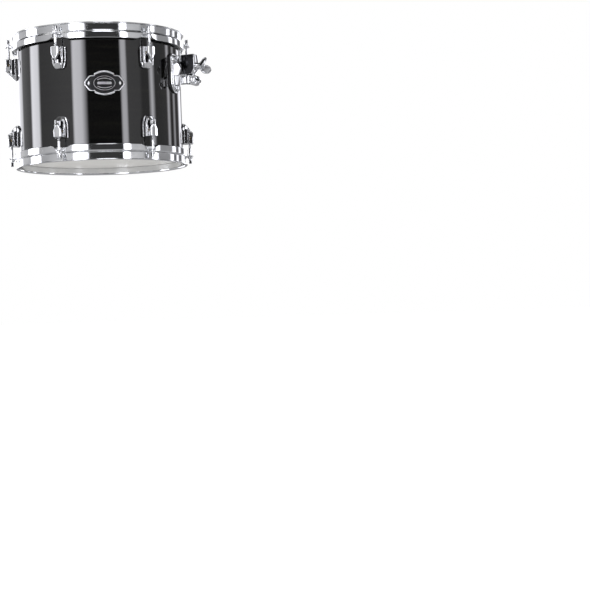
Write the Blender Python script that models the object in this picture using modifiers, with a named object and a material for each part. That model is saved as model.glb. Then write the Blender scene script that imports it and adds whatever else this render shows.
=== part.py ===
"""Double-headed concert tom, 14 x 10 inches, with a shell-mounted clamp for an L-shaped arm.

Metres, +Z up. The drum stands on its resonant hoop at Z = 0 and the clamp points along +X.
Sizes inside the drum are measured from its middle plane, and radii from its axis.
"""

import math

import bmesh
import bpy
from mathutils import Matrix

OBJECT_NAME = "concert_tom"
GAP = 0.0003
MERGE = 0.00001
ROUND_STEPS = 48
LUG_COUNT = 6
FIRST_LUG_ANGLE = math.radians(-150)

# Shell
SHELL_RADIUS = 0.1778
SHELL_DEPTH = 0.254
SHELL_WALL = 0.006
EDGE_CREST_INSET = 0.0018

# Heads
FILM_THICKNESS = 0.0005
COLLAR_CLEARANCE = 0.0006
FILM_SHOULDER = 0.0024
FLESH_HOOP_WIDTH = 0.0057
FLESH_HOOP_HEIGHT = 0.009

# Counter hoops
HOOP_SHEET = 0.0023
HOOP_HEIGHT = 0.0335
RIM_RISE = 0.0165
RIM_FLANGE_REACH = 0.0045
WALL_CLEARANCE = 0.0013
LEDGE_DROP = 0.020
LEDGE_SLOPE = 0.002
SKIRT_CLEARANCE = 0.0008
EAR_DROP = 0.021
EAR_TIP_RADIUS = 0.0075
EAR_ROOT_HALF_WIDTH = 0.011
SCALLOP_TOP_HALF = 0.0105
SCALLOP_BOTTOM_HALF = 0.029

# Tension rods
ROD_OFFSET = 0.0167
ROD_RADIUS = 0.00275
ROD_LENGTH = 0.061
ROD_SIDES = 8
ROD_HOLE_PLAY = 0.00085
ROD_FLANGE_RADIUS = 0.0052
ROD_FLANGE_HEIGHT = 0.003
ROD_NECK_RADIUS = 0.0034
ROD_NECK_HEIGHT = 0.002
KEY_HEAD_SIZE = 0.00635
KEY_HEAD_HEIGHT = 0.0085
ROD_WASHER_RADIUS = 0.006
ROD_WASHER_THICKNESS = 0.0015

# Lugs
LUG_INSET = 0.0325
LUG_HEIGHT = 0.0445
LUG_FRONT_WALL = 0.004
LUG_FLANGE_HALF = 0.015
LUG_FLANGE_THICKNESS = 0.0028
LUG_BODY_HALF = 0.0125
LUG_BODY_REACH = 0.0145
LUG_BOSS_HALF = 0.0085
LUG_BOSS_ROUNDING = 0.006
LUG_FACE_HEIGHT = 0.025
LUG_TIP_REACH = 0.006
LUG_TIP_HALF = 0.0055
LUG_PAD_GAP = 0.0015
LUG_BORE_RADIUS = 0.0039
SWIVEL_NUT_DROP = 0.013
SWIVEL_NUT_RADIUS = 0.0043
SWIVEL_NUT_HALF_LENGTH = 0.0075
SWIVEL_NUT_PLAY = 0.0004
LUG_SCREW_INSETS = (0.0085, 0.0345)
LUG_SCREW_RADIUS = 0.0022
LUG_SCREW_HOLE_PLAY = 0.0004
LUG_SCREW_DEPTH = 0.0055
LUG_SCREW_HEAD_RADIUS = 0.0045
LUG_SCREW_HEAD_HEIGHT = 0.003

# Badge and air vent
BADGE_ANGLE = math.radians(-60)
BADGE_HEIGHT_ABOVE_MIDDLE = 0.0165
BADGE_HALF_WIDTH = 0.0412
BADGE_HALF_HEIGHT = 0.0256
BADGE_CORE_HALF_WIDTH = 0.0205
BADGE_CORE_SIDE_HALF = 0.0203
BADGE_WING_HALF_HEIGHT = 0.0160
BADGE_WING_SHOULDER = 0.031
BADGE_TIP_HALF_HEIGHT = 0.003
BADGE_THICKNESS = 0.0016
VENT_BORE_RADIUS = 0.0045
VENT_BARREL_RADIUS = 0.0058
VENT_LIP_RADIUS = 0.0095
VENT_LIP_THICKNESS = 0.0015

# Clamp bracket on the shell
BRACKET_GASKET_THICKNESS = 0.0015
PLATE_TOP = 0.0905
PLATE_HEIGHT = 0.084
PLATE_HALF_WIDTH = 0.021
PLATE_THICKNESS = 0.006
ARM_HALF_WIDTH = 0.0108
WEB_HALF_WIDTH = 0.006
CHEEK_HALF_WIDTH = 0.013
CLAMP_OFFSET = 0.0375
CLAMP_TOP = 0.0855
CLAMP_BOTTOM = 0.0435
CLAMP_REACH = 0.054
CLAMP_FOOT_REACH = 0.0475
CLAMP_FOOT_START = 0.0285
CHEEK_START = 0.0235
ARM_BOTTOM = 0.0745
FACE_BOTTOM = 0.055
ARM_BORE_RADIUS = 0.00675
EYE_HEIGHT = 0.0600
EYE_RADIUS = 0.0098
EYE_THICKNESS = 0.009
EYE_TRAVEL = 0.003
EYE_SHANK_RADIUS = 0.004
EYE_SHANK_PROUD = 0.0045
SHANK_PLAY = 0.00045
POCKET_HALF_WIDTH = 0.0101
WING_SEAT_RADIUS = 0.0085
WING_WASHER_THICKNESS = 0.0015
WING_WASHER_RADIUS = 0.0082
WING_HUB_RADIUS = 0.0072
WING_HUB_LENGTH = 0.0115
WING_SPLAY = math.radians(32)
WING_PADDLE_RADIUS = 0.012
WING_PADDLE_OFFSET = 0.0195
WING_NECK_HALF = 0.005
WING_THICKNESS = 0.0034
WING_REST_TURN = math.radians(-40)
BRACKET_BOLT_PLACES = ((-0.0122, 0.0775), (0.0122, 0.0775), (0.0, 0.0165))
BRACKET_BOLT_RADIUS = 0.003
BRACKET_BOLT_HOLE_PLAY = 0.0005
BRACKET_BOLT_HEAD_RADIUS = 0.008
BRACKET_BOLT_HEAD_HEIGHT = 0.0038
BACKING_PLATE_THICKNESS = 0.002
BRACKET_NUT_RADIUS = 0.0056
BRACKET_NUT_HEIGHT = 0.005

# Memory lock around the arm, under the clamp
LOCK_HEIGHT = 0.0170
LOCK_CLEARANCE = 0.0025
LOCK_RADIUS = 0.0108
LOCK_HINGE_OFFSET = 0.0155
LOCK_KNUCKLE_RADIUS = 0.0055
LOCK_PIN_RADIUS = 0.002
LOCK_PIN_PLAY = 0.0004
LOCK_BAR_DEPTH = 0.0075
LOCK_BOSS_RADIUS = 0.0108
LOCK_BOSS_DEPTH = 0.011
LOCK_BOLT_OFFSET = 0.0118
LOCK_BOLT_RADIUS = 0.00275
LOCK_BOLT_LENGTH = 0.0185
LOCK_SPLIT = 0.0002
LOCK_WASHER_RADIUS = 0.0062
LOCK_WASHER_THICKNESS = 0.0012

# Places, heights and radii that follow from the sizes above
LUG_ANGLES = [FIRST_LUG_ANGLE + 2 * math.pi * index / LUG_COUNT for index in range(LUG_COUNT)]
SHELL_HALF = SHELL_DEPTH / 2
ROD_CIRCLE_RADIUS = SHELL_RADIUS + ROD_OFFSET
RIM_HEIGHT = SHELL_HALF + RIM_RISE
FILM_TOP = SHELL_HALF + GAP + FILM_THICKNESS
COLLAR_INNER = SHELL_RADIUS + COLLAR_CLEARANCE
COLLAR_OUTER = COLLAR_INNER + FILM_THICKNESS
FLESH_INNER = COLLAR_OUTER + GAP
FLESH_OUTER = FLESH_INNER + FLESH_HOOP_WIDTH
FLESH_TOP = RIM_HEIGHT - LEDGE_DROP - GAP
FLESH_BOTTOM = FLESH_TOP - FLESH_HOOP_HEIGHT
WALL_INNER = COLLAR_OUTER + WALL_CLEARANCE
WALL_OUTER = WALL_INNER + HOOP_SHEET
RIM_RADIUS = WALL_OUTER + RIM_FLANGE_REACH
SKIRT_INNER = FLESH_OUTER + SKIRT_CLEARANCE
SKIRT_OUTER = SKIRT_INNER + HOOP_SHEET
EAR_TOP = RIM_HEIGHT - EAR_DROP
EAR_UNDER = EAR_TOP - HOOP_SHEET
ROD_HOLE_RADIUS = ROD_RADIUS + ROD_HOLE_PLAY
ROD_SEAT = EAR_TOP + GAP
LUG_BACK = SHELL_RADIUS + LUG_PAD_GAP
LUG_TOP = SHELL_HALF - LUG_INSET
LUG_BOTTOM = LUG_TOP - LUG_HEIGHT
LUG_FACE = ROD_CIRCLE_RADIUS + LUG_BORE_RADIUS + LUG_FRONT_WALL
SWIVEL_NUT_HEIGHT = LUG_TOP - SWIVEL_NUT_DROP
SWIVEL_POCKET_RADIUS = SWIVEL_NUT_RADIUS + SWIVEL_NUT_PLAY
PLATE_BACK = SHELL_RADIUS + BRACKET_GASKET_THICKNESS + 2 * GAP
PLATE_FACE = PLATE_BACK + PLATE_THICKNESS
PLATE_BOTTOM = PLATE_TOP - PLATE_HEIGHT
BOLT_HEAD_TOP = PLATE_FACE + GAP + BRACKET_BOLT_HEAD_HEIGHT
ARM_START = BOLT_HEAD_TOP + GAP
WEB_TOP = BRACKET_BOLT_PLACES[0][1] - BRACKET_BOLT_HEAD_RADIUS - GAP
CLAMP_FOOT = SHELL_RADIUS + CLAMP_FOOT_START
CLAMP_AXIS = SHELL_RADIUS + CLAMP_OFFSET
CLAMP_FACE = SHELL_RADIUS + CLAMP_REACH
WING_WASHER_START = CLAMP_FACE + GAP
WING_START = WING_WASHER_START + WING_WASHER_THICKNESS + GAP
EYE_SHANK_END = WING_START + WING_HUB_LENGTH + EYE_SHANK_PROUD
LOCK_TOP = CLAMP_BOTTOM - LOCK_CLEARANCE
LOCK_BOTTOM = LOCK_TOP - LOCK_HEIGHT
LOCK_MIDDLE = (LOCK_TOP + LOCK_BOTTOM) / 2
LOCK_BOLT_HEIGHT = LOCK_TOP - LOCK_BOSS_RADIUS
LOCK_BOLT_AXIS = CLAMP_AXIS + LOCK_BOLT_OFFSET
LOCK_HINGE_AXIS = CLAMP_AXIS - LOCK_HINGE_OFFSET
WING_TIP_ALONG = (WING_PADDLE_OFFSET + WING_PADDLE_RADIUS) * math.cos(WING_SPLAY)
REACH = WING_START + WING_TIP_ALONG + WING_THICKNESS / 2 * math.sin(WING_SPLAY)
BACK_REACH = max(RIM_RADIUS, SKIRT_OUTER)
AXIS_X = (BACK_REACH - REACH) / 2


def clear_scene():
    for obj in list(bpy.data.objects):
        bpy.data.objects.remove(obj)


def new_collection(name):
    collection = bpy.data.collections.new(name)
    bpy.context.scene.collection.children.link(collection)
    return collection


def make_material(name, colour, roughness, metallic):
    material = bpy.data.materials.new(name)
    material.use_nodes = True
    shader = material.node_tree.nodes["Principled BSDF"]
    shader.inputs["Base Color"].default_value = (*colour, 1.0)
    shader.inputs["Roughness"].default_value = roughness
    shader.inputs["Metallic"].default_value = metallic
    return material


clear_scene()
PARTS = new_collection(OBJECT_NAME)
CUTTERS = new_collection("cutters")

LACQUER = make_material("black_lacquer", (0.012, 0.012, 0.012), 0.12, 0.0)
CHROME = make_material("chrome", (0.78, 0.79, 0.80), 0.08, 1.0)
STEEL = make_material("zinc_steel", (0.55, 0.56, 0.57), 0.35, 1.0)
FILM = make_material("coated_film", (0.62, 0.61, 0.59), 0.5, 0.0)
ALUMINIUM = make_material("aluminium", (0.72, 0.73, 0.74), 0.3, 1.0)
RUBBER = make_material("rubber", (0.02, 0.02, 0.02), 0.7, 0.0)
BRASS = make_material("brass", (0.72, 0.55, 0.28), 0.3, 1.0)
BADGE_METAL = make_material("badge_metal", (0.5, 0.5, 0.5), 0.25, 1.0)

drum = bpy.data.objects.new("drum_middle", None)
drum.location = (AXIS_X, 0.0, RIM_HEIGHT)
PARTS.objects.link(drum)


def bake(obj):
    """Turn an object with its modifiers into a plain mesh and drop the object."""
    graph = bpy.context.evaluated_depsgraph_get()
    mesh = bpy.data.meshes.new_from_object(obj.evaluated_get(graph))
    bpy.data.objects.remove(obj)
    return mesh


def working_object(mesh):
    obj = bpy.data.objects.new("working", mesh)
    obj.display_type = "WIRE"
    obj.hide_render = True
    CUTTERS.objects.link(obj)
    return obj


def combine(base, *steps):
    """Join, cut or intersect a mesh with others; each step is (operation, mesh)."""
    body = working_object(base)
    tools = []
    for operation, mesh in steps:
        tool = working_object(mesh)
        modifier = body.modifiers.new(operation.lower(), "BOOLEAN")
        modifier.operation = operation
        modifier.object = tool
        tools.append(tool)
    result = bake(body)
    for tool in tools:
        bpy.data.objects.remove(tool)
    return result


def bevelled(mesh, width, segments, angle=math.radians(30)):
    obj = working_object(mesh)
    modifier = obj.modifiers.new("rounding", "BEVEL")
    modifier.width = width
    modifier.segments = segments
    modifier.limit_method = "ANGLE"
    modifier.angle_limit = angle
    return bake(obj)


def mesh_from(bm):
    bmesh.ops.recalc_face_normals(bm, faces=bm.faces)
    mesh = bpy.data.meshes.new("mesh")
    bm.to_mesh(mesh)
    bm.free()
    return mesh


AXIS_TURNS = {
    "X": Matrix.Rotation(math.radians(90), 4, "Y"),
    "Y": Matrix.Rotation(math.radians(-90), 4, "X"),
    "Z": Matrix.Identity(4),
}


def cylinder(radius, low, high, axis="Z", centre=(0.0, 0.0), sides=12):
    """A cylinder along an axis from low to high; centre is its place on the other two axes, in order."""
    middle = (low + high) / 2
    places = {
        "X": (middle, centre[0], centre[1]),
        "Y": (centre[0], middle, centre[1]),
        "Z": (centre[0], centre[1], middle),
    }
    bm = bmesh.new()
    bmesh.ops.create_cone(
        bm,
        cap_ends=True,
        segments=sides,
        radius1=radius,
        radius2=radius,
        depth=high - low,
        matrix=Matrix.Translation(places[axis]) @ AXIS_TURNS[axis],
    )
    return mesh_from(bm)


def box(low, high):
    bm = bmesh.new()
    size = [b - a for a, b in zip(low, high)]
    centre = [(a + b) / 2 for a, b in zip(low, high)]
    bmesh.ops.create_cube(bm, size=1.0, matrix=Matrix.Translation(centre) @ Matrix.Diagonal((*size, 1.0)))
    return mesh_from(bm)


def merged(meshes, placements=None):
    """Several closed bodies in one mesh, each moved by its own matrix."""
    bm = bmesh.new()
    for index, mesh in enumerate(meshes):
        copy = mesh.copy()
        if placements:
            copy.transform(placements[index])
        bm.from_mesh(copy)
        bpy.data.meshes.remove(copy)
    return mesh_from(bm)


def prism(outline, low, high, axis="Z"):
    """A flat outline with a thickness along an axis: (y, z) for X, (x, z) for Y and (x, y) for Z."""
    curve = bpy.data.curves.new("outline", "CURVE")
    curve.dimensions = "2D"
    curve.fill_mode = "BOTH"
    curve.extrude = (high - low) / 2
    spline = curve.splines.new("POLY")
    spline.points.add(len(outline) - 1)
    for point, (across, along) in zip(spline.points, outline):
        point.co = (across, along, 0.0, 1.0)
    spline.use_cyclic_u = True
    mesh = bake(working_object(curve))
    bm = bmesh.new()
    bm.from_mesh(mesh)
    bmesh.ops.remove_doubles(bm, verts=bm.verts, dist=MERGE)
    bpy.data.meshes.remove(mesh)
    middle = (low + high) / 2
    turns = {
        "X": Matrix(((0, 0, 1, middle), (1, 0, 0, 0), (0, 1, 0, 0), (0, 0, 0, 1))),
        "Y": Matrix(((1, 0, 0, 0), (0, 0, -1, middle), (0, 1, 0, 0), (0, 0, 0, 1))),
        "Z": Matrix.Translation((0, 0, middle)),
    }
    bm.transform(turns[axis])
    return mesh_from(bm)


def turned_object(name, profile, steps=ROUND_STEPS):
    """A profile of (radius, height) pairs, run down its outer side, turned about Z by a Screw modifier."""
    mesh = bpy.data.meshes.new(name)
    count = len(profile)
    edges = [(index, index + 1) for index in range(count - 1)]
    if profile[0][0] > 0:
        edges.append((count - 1, 0))
    mesh.from_pydata([(radius, 0.0, height) for radius, height in profile], edges, [])
    obj = bpy.data.objects.new(name, mesh)
    screw = obj.modifiers.new("turn", "SCREW")
    screw.steps = steps
    screw.render_steps = steps
    screw.use_merge_vertices = True
    screw.merge_threshold = MERGE
    screw.use_normal_calculate = False
    return obj


def turned(profile, steps):
    obj = turned_object("turned", profile, steps)
    CUTTERS.objects.link(obj)
    return bake(obj)


def ring_profile(inner, outer, low, high):
    return [(outer, high), (outer, low), (inner, low), (inner, high)]


def add_cutter(obj, cutter_name, mesh):
    """Keep a live cut on an object, with its tool in the cutters collection."""
    tool = bpy.data.objects.new(cutter_name, mesh)
    tool.display_type = "WIRE"
    tool.hide_render = True
    tool.parent = drum
    CUTTERS.objects.link(tool)
    modifier = obj.modifiers.new(cutter_name, "BOOLEAN")
    modifier.operation = "DIFFERENCE"
    modifier.object = tool


def place(name, mesh_or_object, material, turn=0.0, upside_down=False, origin=(0.0, 0.0, 0.0)):
    """Put a piece on the drum: turned about the drum's axis, and over on its back for the lower side."""
    if isinstance(mesh_or_object, bpy.types.Object):
        obj = mesh_or_object
        obj.name = name
    else:
        obj = bpy.data.objects.new(name, mesh_or_object)
    obj.data.materials.clear()
    obj.data.materials.append(material)
    obj.location = origin
    obj.rotation_euler = (math.pi if upside_down else 0.0, 0.0, turn)
    obj.parent = drum
    if not obj.modifiers:
        obj.data.shade_smooth()
        obj.data.set_sharp_from_angle(angle=math.radians(35))
    PARTS.objects.link(obj)
    return obj


def moved(mesh, x, z):
    mesh.transform(Matrix.Translation((x, 0.0, z)))
    return mesh


def around(mesh):
    """The same solid once at each lug's angle round the drum."""
    turns = [Matrix.Rotation(angle, 4, "Z") for angle in LUG_ANGLES]
    return merged([mesh] * len(turns), turns)


def arc(centre, radius, start, end, count):
    """Points along an arc, with its angles in degrees."""
    points = []
    for index in range(count + 1):
        angle = math.radians(start + (end - start) * index / count)
        points.append((centre[0] + radius * math.cos(angle), centre[1] + radius * math.sin(angle)))
    return points


def shield(half_width, top, bottom, tip_half):
    """A shield outline: straight sides, then quarter-round curves down to a narrow tip."""
    shoulder = (top + bottom) / 2
    right = [(half_width, top)]
    for step in range(4):
        angle = math.radians(30 * step)
        across = tip_half + (half_width - tip_half) * math.cos(angle)
        right.append((across, shoulder - (shoulder - bottom) * math.sin(angle)))
    return right + [(-across, along) for across, along in reversed(right)]


def lug_screw_holes(low, high, radius):
    """Holes along X at both screw heights of one upper lug."""
    heights = [LUG_TOP - inset for inset in LUG_SCREW_INSETS]
    return merged([cylinder(radius, low, high, "X", (0.0, height), 8) for height in heights])


def build_shell():
    inner = SHELL_RADIUS - SHELL_WALL
    crest = SHELL_RADIUS - EDGE_CREST_INSET
    bevel_depth = crest - inner
    profile = [
        (crest, SHELL_HALF),
        (SHELL_RADIUS, SHELL_HALF - EDGE_CREST_INSET),
        (SHELL_RADIUS, -SHELL_HALF + EDGE_CREST_INSET),
        (crest, -SHELL_HALF),
        (inner, -SHELL_HALF + bevel_depth),
        (inner, SHELL_HALF - bevel_depth),
    ]
    shell = turned_object("shell", profile)
    low = inner - SHELL_WALL
    high = SHELL_RADIUS + SHELL_WALL
    screw_holes = lug_screw_holes(low, high, LUG_SCREW_RADIUS + LUG_SCREW_HOLE_PLAY)
    upper = around(screw_holes)
    lower = merged([upper], [Matrix.Rotation(math.pi, 4, "X")])
    bolt_radius = BRACKET_BOLT_RADIUS + BRACKET_BOLT_HOLE_PLAY
    bolts = [cylinder(bolt_radius, low, high, "X", spot, 8) for spot in BRACKET_BOLT_PLACES]
    vent = cylinder(VENT_BARREL_RADIUS + GAP * 2, -high, -low, "X", (0.0, 0.0), 12)
    add_cutter(shell, "shell_holes", merged([upper, lower, vent] + bolts))
    place("shell", shell, LACQUER)


def head_profile():
    shoulder = FILM_TOP - FILM_SHOULDER
    crest = COLLAR_OUTER - FILM_SHOULDER
    return [
        (0.0, FILM_TOP),
        (crest, FILM_TOP),
        (COLLAR_OUTER, shoulder),
        (COLLAR_OUTER, FLESH_BOTTOM),
        (COLLAR_INNER, FLESH_BOTTOM),
        (COLLAR_INNER, shoulder),
        (crest, FILM_TOP - FILM_THICKNESS),
        (0.0, FILM_TOP - FILM_THICKNESS),
    ]


def build_heads():
    film = turned(head_profile(), ROUND_STEPS)
    flesh = turned(ring_profile(FLESH_INNER, FLESH_OUTER, FLESH_BOTTOM, FLESH_TOP), ROUND_STEPS)
    place("batter_film", film, FILM)
    place("batter_flesh_hoop", flesh, ALUMINIUM)
    place("resonant_film", film.copy(), FILM, upside_down=True)
    place("resonant_flesh_hoop", flesh.copy(), ALUMINIUM, upside_down=True)


def ear():
    """One hoop ear at +X, with the hole for its rod."""
    root = (SKIRT_INNER + SKIRT_OUTER) / 2
    outline = [(root, -EAR_ROOT_HALF_WIDTH), (SKIRT_OUTER, -EAR_ROOT_HALF_WIDTH)]
    outline += arc((ROD_CIRCLE_RADIUS, 0.0), EAR_TIP_RADIUS, -80, 80, 6)
    outline += [(SKIRT_OUTER, EAR_ROOT_HALF_WIDTH), (root, EAR_ROOT_HALF_WIDTH)]
    plate = prism(outline, EAR_UNDER, EAR_TOP)
    centre = (ROD_CIRCLE_RADIUS, 0.0)
    hole = cylinder(ROD_HOLE_RADIUS, EAR_UNDER - GAP, EAR_TOP + GAP, "Z", centre, ROD_SIDES)
    return combine(plate, ("DIFFERENCE", hole))


def scallop():
    """What is cut from the skirt under one ear: steep beside the ear, flat where it meets the edge."""
    top = (EAR_TOP + EAR_UNDER) / 2
    bottom = RIM_HEIGHT - HOOP_HEIGHT - GAP
    right = []
    for step in range(5):
        angle = math.radians(22.5 * step)
        across = SCALLOP_TOP_HALF + (SCALLOP_BOTTOM_HALF - SCALLOP_TOP_HALF) * (1 - math.cos(angle))
        right.append((across, top - (top - bottom) * math.sin(angle)))
    outline = right + [(-across, along) for across, along in reversed(right)]
    return prism(outline, FLESH_OUTER, ROD_CIRCLE_RADIUS, "X")


def build_hoops():
    ledge = RIM_HEIGHT - LEDGE_DROP
    profile = [
        (RIM_RADIUS, RIM_HEIGHT),
        (RIM_RADIUS, RIM_HEIGHT - HOOP_SHEET),
        (WALL_OUTER, RIM_HEIGHT - HOOP_SHEET),
        (WALL_OUTER, ledge + HOOP_SHEET + LEDGE_SLOPE / 2),
        (SKIRT_OUTER, ledge + LEDGE_SLOPE / 2),
        (SKIRT_OUTER, RIM_HEIGHT - HOOP_HEIGHT),
        (SKIRT_INNER, RIM_HEIGHT - HOOP_HEIGHT),
        (SKIRT_INNER, ledge),
        (WALL_INNER, ledge),
        (WALL_INNER, RIM_HEIGHT),
    ]
    ring = turned(profile, ROUND_STEPS)
    hoop = combine(ring, ("DIFFERENCE", around(scallop())), ("UNION", around(ear())))
    place("batter_hoop", hoop, CHROME)
    place("resonant_hoop", hoop.copy(), CHROME, upside_down=True)


def tension_rod():
    """A key-headed rod with its washer, along Z, ready to stand at the rod circle."""
    washer_top = ROD_SEAT + ROD_WASHER_THICKNESS
    flange_top = washer_top + ROD_FLANGE_HEIGHT
    neck_top = flange_top + ROD_NECK_HEIGHT
    profile = [
        (0.0, neck_top),
        (ROD_NECK_RADIUS, neck_top),
        (ROD_NECK_RADIUS, flange_top),
        (ROD_FLANGE_RADIUS, flange_top),
        (ROD_FLANGE_RADIUS, washer_top),
        (ROD_WASHER_RADIUS, washer_top),
        (ROD_WASHER_RADIUS, ROD_SEAT),
        (ROD_RADIUS, ROD_SEAT),
        (ROD_RADIUS, ROD_SEAT - ROD_LENGTH),
        (0.0, ROD_SEAT - ROD_LENGTH),
    ]
    half = KEY_HEAD_SIZE / 2
    low = (-half, -half, neck_top - ROD_NECK_HEIGHT / 2)
    high = (half, half, neck_top + KEY_HEAD_HEIGHT)
    return combine(turned(profile, ROD_SIDES), ("UNION", box(low, high)))


def build_rods():
    rod = tension_rod()
    for side, over in (("upper", False), ("lower", True)):
        for number, angle in enumerate(LUG_ANGLES, 1):
            spot = (ROD_CIRCLE_RADIUS * math.cos(angle), ROD_CIRCLE_RADIUS * math.sin(angle), 0.0)
            place(f"{side}_tension_rod_{number}", rod.copy(), CHROME, angle, over, spot)


def lug():
    """One upper lug at +X: flange, body and rounded boss, with its bore, cross pocket and two screws."""
    slope_start = (LUG_FACE, LUG_TOP - LUG_FACE_HEIGHT)
    bar_back = LUG_BACK + GAP
    tip = (SHELL_RADIUS + LUG_TIP_REACH, LUG_BOTTOM)
    boss_side = [(bar_back, LUG_TOP), (LUG_FACE, LUG_TOP), slope_start, tip, (bar_back, LUG_BOTTOM)]
    boss_bar = prism(boss_side, -LUG_BOSS_HALF, LUG_BOSS_HALF, "Y")
    boss = bevelled(boss_bar, LUG_BOSS_ROUNDING, 2, math.radians(80))
    body_face = SHELL_RADIUS + LUG_BODY_REACH
    share = (LUG_FACE - body_face) / (LUG_FACE - tip[0])
    low_edge = LUG_BOTTOM + GAP
    body_slope = (body_face, slope_start[1] - share * (slope_start[1] - low_edge) + GAP)
    body_top = LUG_TOP - GAP
    body_side = [(bar_back + GAP, body_top), (body_face, body_top), body_slope]
    body_side += [(tip[0], low_edge), (bar_back + GAP, low_edge)]
    body = prism(body_side, -LUG_FLANGE_HALF, LUG_FLANGE_HALF, "Y")
    face_outline = shield(LUG_BODY_HALF, LUG_TOP + GAP, LUG_BOTTOM - GAP, LUG_TIP_HALF)
    face = prism(face_outline, LUG_BACK - GAP, LUG_FACE + GAP, "X")
    flange_outline = shield(LUG_FLANGE_HALF, LUG_TOP - 2 * GAP, LUG_BOTTOM - 2 * GAP, LUG_TIP_HALF)
    flange = prism(flange_outline, LUG_BACK, LUG_BACK + LUG_FLANGE_THICKNESS, "X")
    rod_end = ROD_SEAT - ROD_LENGTH - ROD_WASHER_THICKNESS
    centre = (ROD_CIRCLE_RADIUS, 0.0)
    bore = cylinder(LUG_BORE_RADIUS, rod_end, LUG_TOP + GAP, "Z", centre, ROD_SIDES)
    pocket_centre = (ROD_CIRCLE_RADIUS, SWIVEL_NUT_HEIGHT)
    reach = LUG_FLANGE_HALF + GAP
    pocket = cylinder(SWIVEL_POCKET_RADIUS, -reach, reach, "Y", pocket_centre, 10)
    screws = [("UNION", lug_screw(LUG_TOP - inset)) for inset in LUG_SCREW_INSETS]
    return combine(
        body,
        ("UNION", boss),
        ("INTERSECT", face),
        ("UNION", flange),
        ("DIFFERENCE", bore),
        ("DIFFERENCE", pocket),
        *screws,
    )


def swivel_nut():
    centre = (ROD_CIRCLE_RADIUS, SWIVEL_NUT_HEIGHT)
    barrel = cylinder(SWIVEL_NUT_RADIUS, -SWIVEL_NUT_HALF_LENGTH, SWIVEL_NUT_HALF_LENGTH, "Y", centre, 10)
    low = SWIVEL_NUT_HEIGHT - SWIVEL_POCKET_RADIUS
    high = SWIVEL_NUT_HEIGHT + SWIVEL_POCKET_RADIUS
    spot = (ROD_CIRCLE_RADIUS, 0.0)
    thread = cylinder(ROD_RADIUS + 2 * GAP, low, high, "Z", spot, ROD_SIDES)
    return combine(barrel, ("DIFFERENCE", thread))


def lug_screw(height):
    """A hex screw along X, its head inside the shell and its point in the back of the lug."""
    head_seat = SHELL_RADIUS * math.cos(math.pi / ROUND_STEPS) - SHELL_WALL - GAP
    head = cylinder(LUG_SCREW_HEAD_RADIUS, head_seat - LUG_SCREW_HEAD_HEIGHT, head_seat, "X", (0.0, height), 6)
    point = LUG_BACK + LUG_SCREW_DEPTH
    shank = cylinder(LUG_SCREW_RADIUS, head_seat - GAP, point, "X", (0.0, height), 8)
    return combine(head, ("UNION", shank))


def build_lugs():
    body = lug()
    nut = swivel_nut()
    for side, over in (("upper", False), ("lower", True)):
        for number, angle in enumerate(LUG_ANGLES, 1):
            place(f"{side}_lug_{number}", body.copy(), CHROME, angle, over)
            place(f"{side}_swivel_nut_{number}", nut.copy(), BRASS, angle, over)


def badge_outline():
    """A core with arched ends and a pointed wing on each side, centred at (0, 0)."""
    corner = (BADGE_HALF_WIDTH, BADGE_TIP_HALF_HEIGHT)
    shoulder = (BADGE_WING_SHOULDER, BADGE_WING_HALF_HEIGHT)
    wing = [corner, shoulder, (BADGE_CORE_HALF_WIDTH, BADGE_WING_HALF_HEIGHT)]
    rise = BADGE_HALF_HEIGHT - BADGE_CORE_SIDE_HALF
    arch = []
    for step in range(5):
        share = 1 - step / 4
        height = BADGE_CORE_SIDE_HALF + rise * math.cos(share * math.pi / 2)
        arch.append((share * BADGE_CORE_HALF_WIDTH, height))
    quarter = wing + arch
    upper = quarter + [(-across, along) for across, along in reversed(quarter[:-1])]
    return upper + [(across, -along) for across, along in reversed(upper)]


def build_badge():
    outline = [(across, along + BADGE_HEIGHT_ABOVE_MIDDLE) for across, along in badge_outline()]
    cut = prism(outline, SHELL_RADIUS - SHELL_WALL, SHELL_RADIUS + SHELL_WALL, "X")
    low = BADGE_HEIGHT_ABOVE_MIDDLE - SHELL_WALL - BADGE_HALF_HEIGHT
    high = BADGE_HEIGHT_ABOVE_MIDDLE + SHELL_WALL + BADGE_HALF_HEIGHT
    inner = SHELL_RADIUS + GAP
    sheet = turned(ring_profile(inner, inner + BADGE_THICKNESS, low, high), ROUND_STEPS)
    sheet.transform(Matrix.Rotation(-BADGE_ANGLE, 4, "Z"))
    place("badge", combine(sheet, ("INTERSECT", cut)), BADGE_METAL, BADGE_ANGLE)


def build_vent():
    """A grommet through the back of the shell, turned about its own axis and then laid along -X."""
    inner = SHELL_RADIUS * math.cos(math.pi / ROUND_STEPS) - SHELL_WALL - GAP
    outer = SHELL_RADIUS + GAP
    profile = [
        (VENT_LIP_RADIUS, outer + VENT_LIP_THICKNESS),
        (VENT_LIP_RADIUS, outer),
        (VENT_BARREL_RADIUS, outer),
        (VENT_BARREL_RADIUS, inner),
        (VENT_LIP_RADIUS, inner),
        (VENT_LIP_RADIUS, inner - VENT_LIP_THICKNESS),
        (VENT_BORE_RADIUS, inner - VENT_LIP_THICKNESS),
        (VENT_BORE_RADIUS, outer + VENT_LIP_THICKNESS),
    ]
    grommet = turned(profile, 12)
    grommet.transform(AXIS_TURNS["X"])
    place("air_vent_grommet", grommet, CHROME, math.pi)


def stadium(half_width, low, high):
    """A plate outline in (y, z) with a half-round bottom and rounded top corners."""
    corner = half_width / 2
    points = arc((0.0, low + half_width), half_width, 180, 360, 8)
    points += arc((half_width - corner, high - corner), corner, 0, 90, 3)
    points += arc((corner - half_width, high - corner), corner, 90, 180, 3)
    return points


def bracket_holes(low, high, radius):
    return merged([cylinder(radius, low, high, "X", spot, 8) for spot in BRACKET_BOLT_PLACES])


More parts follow.
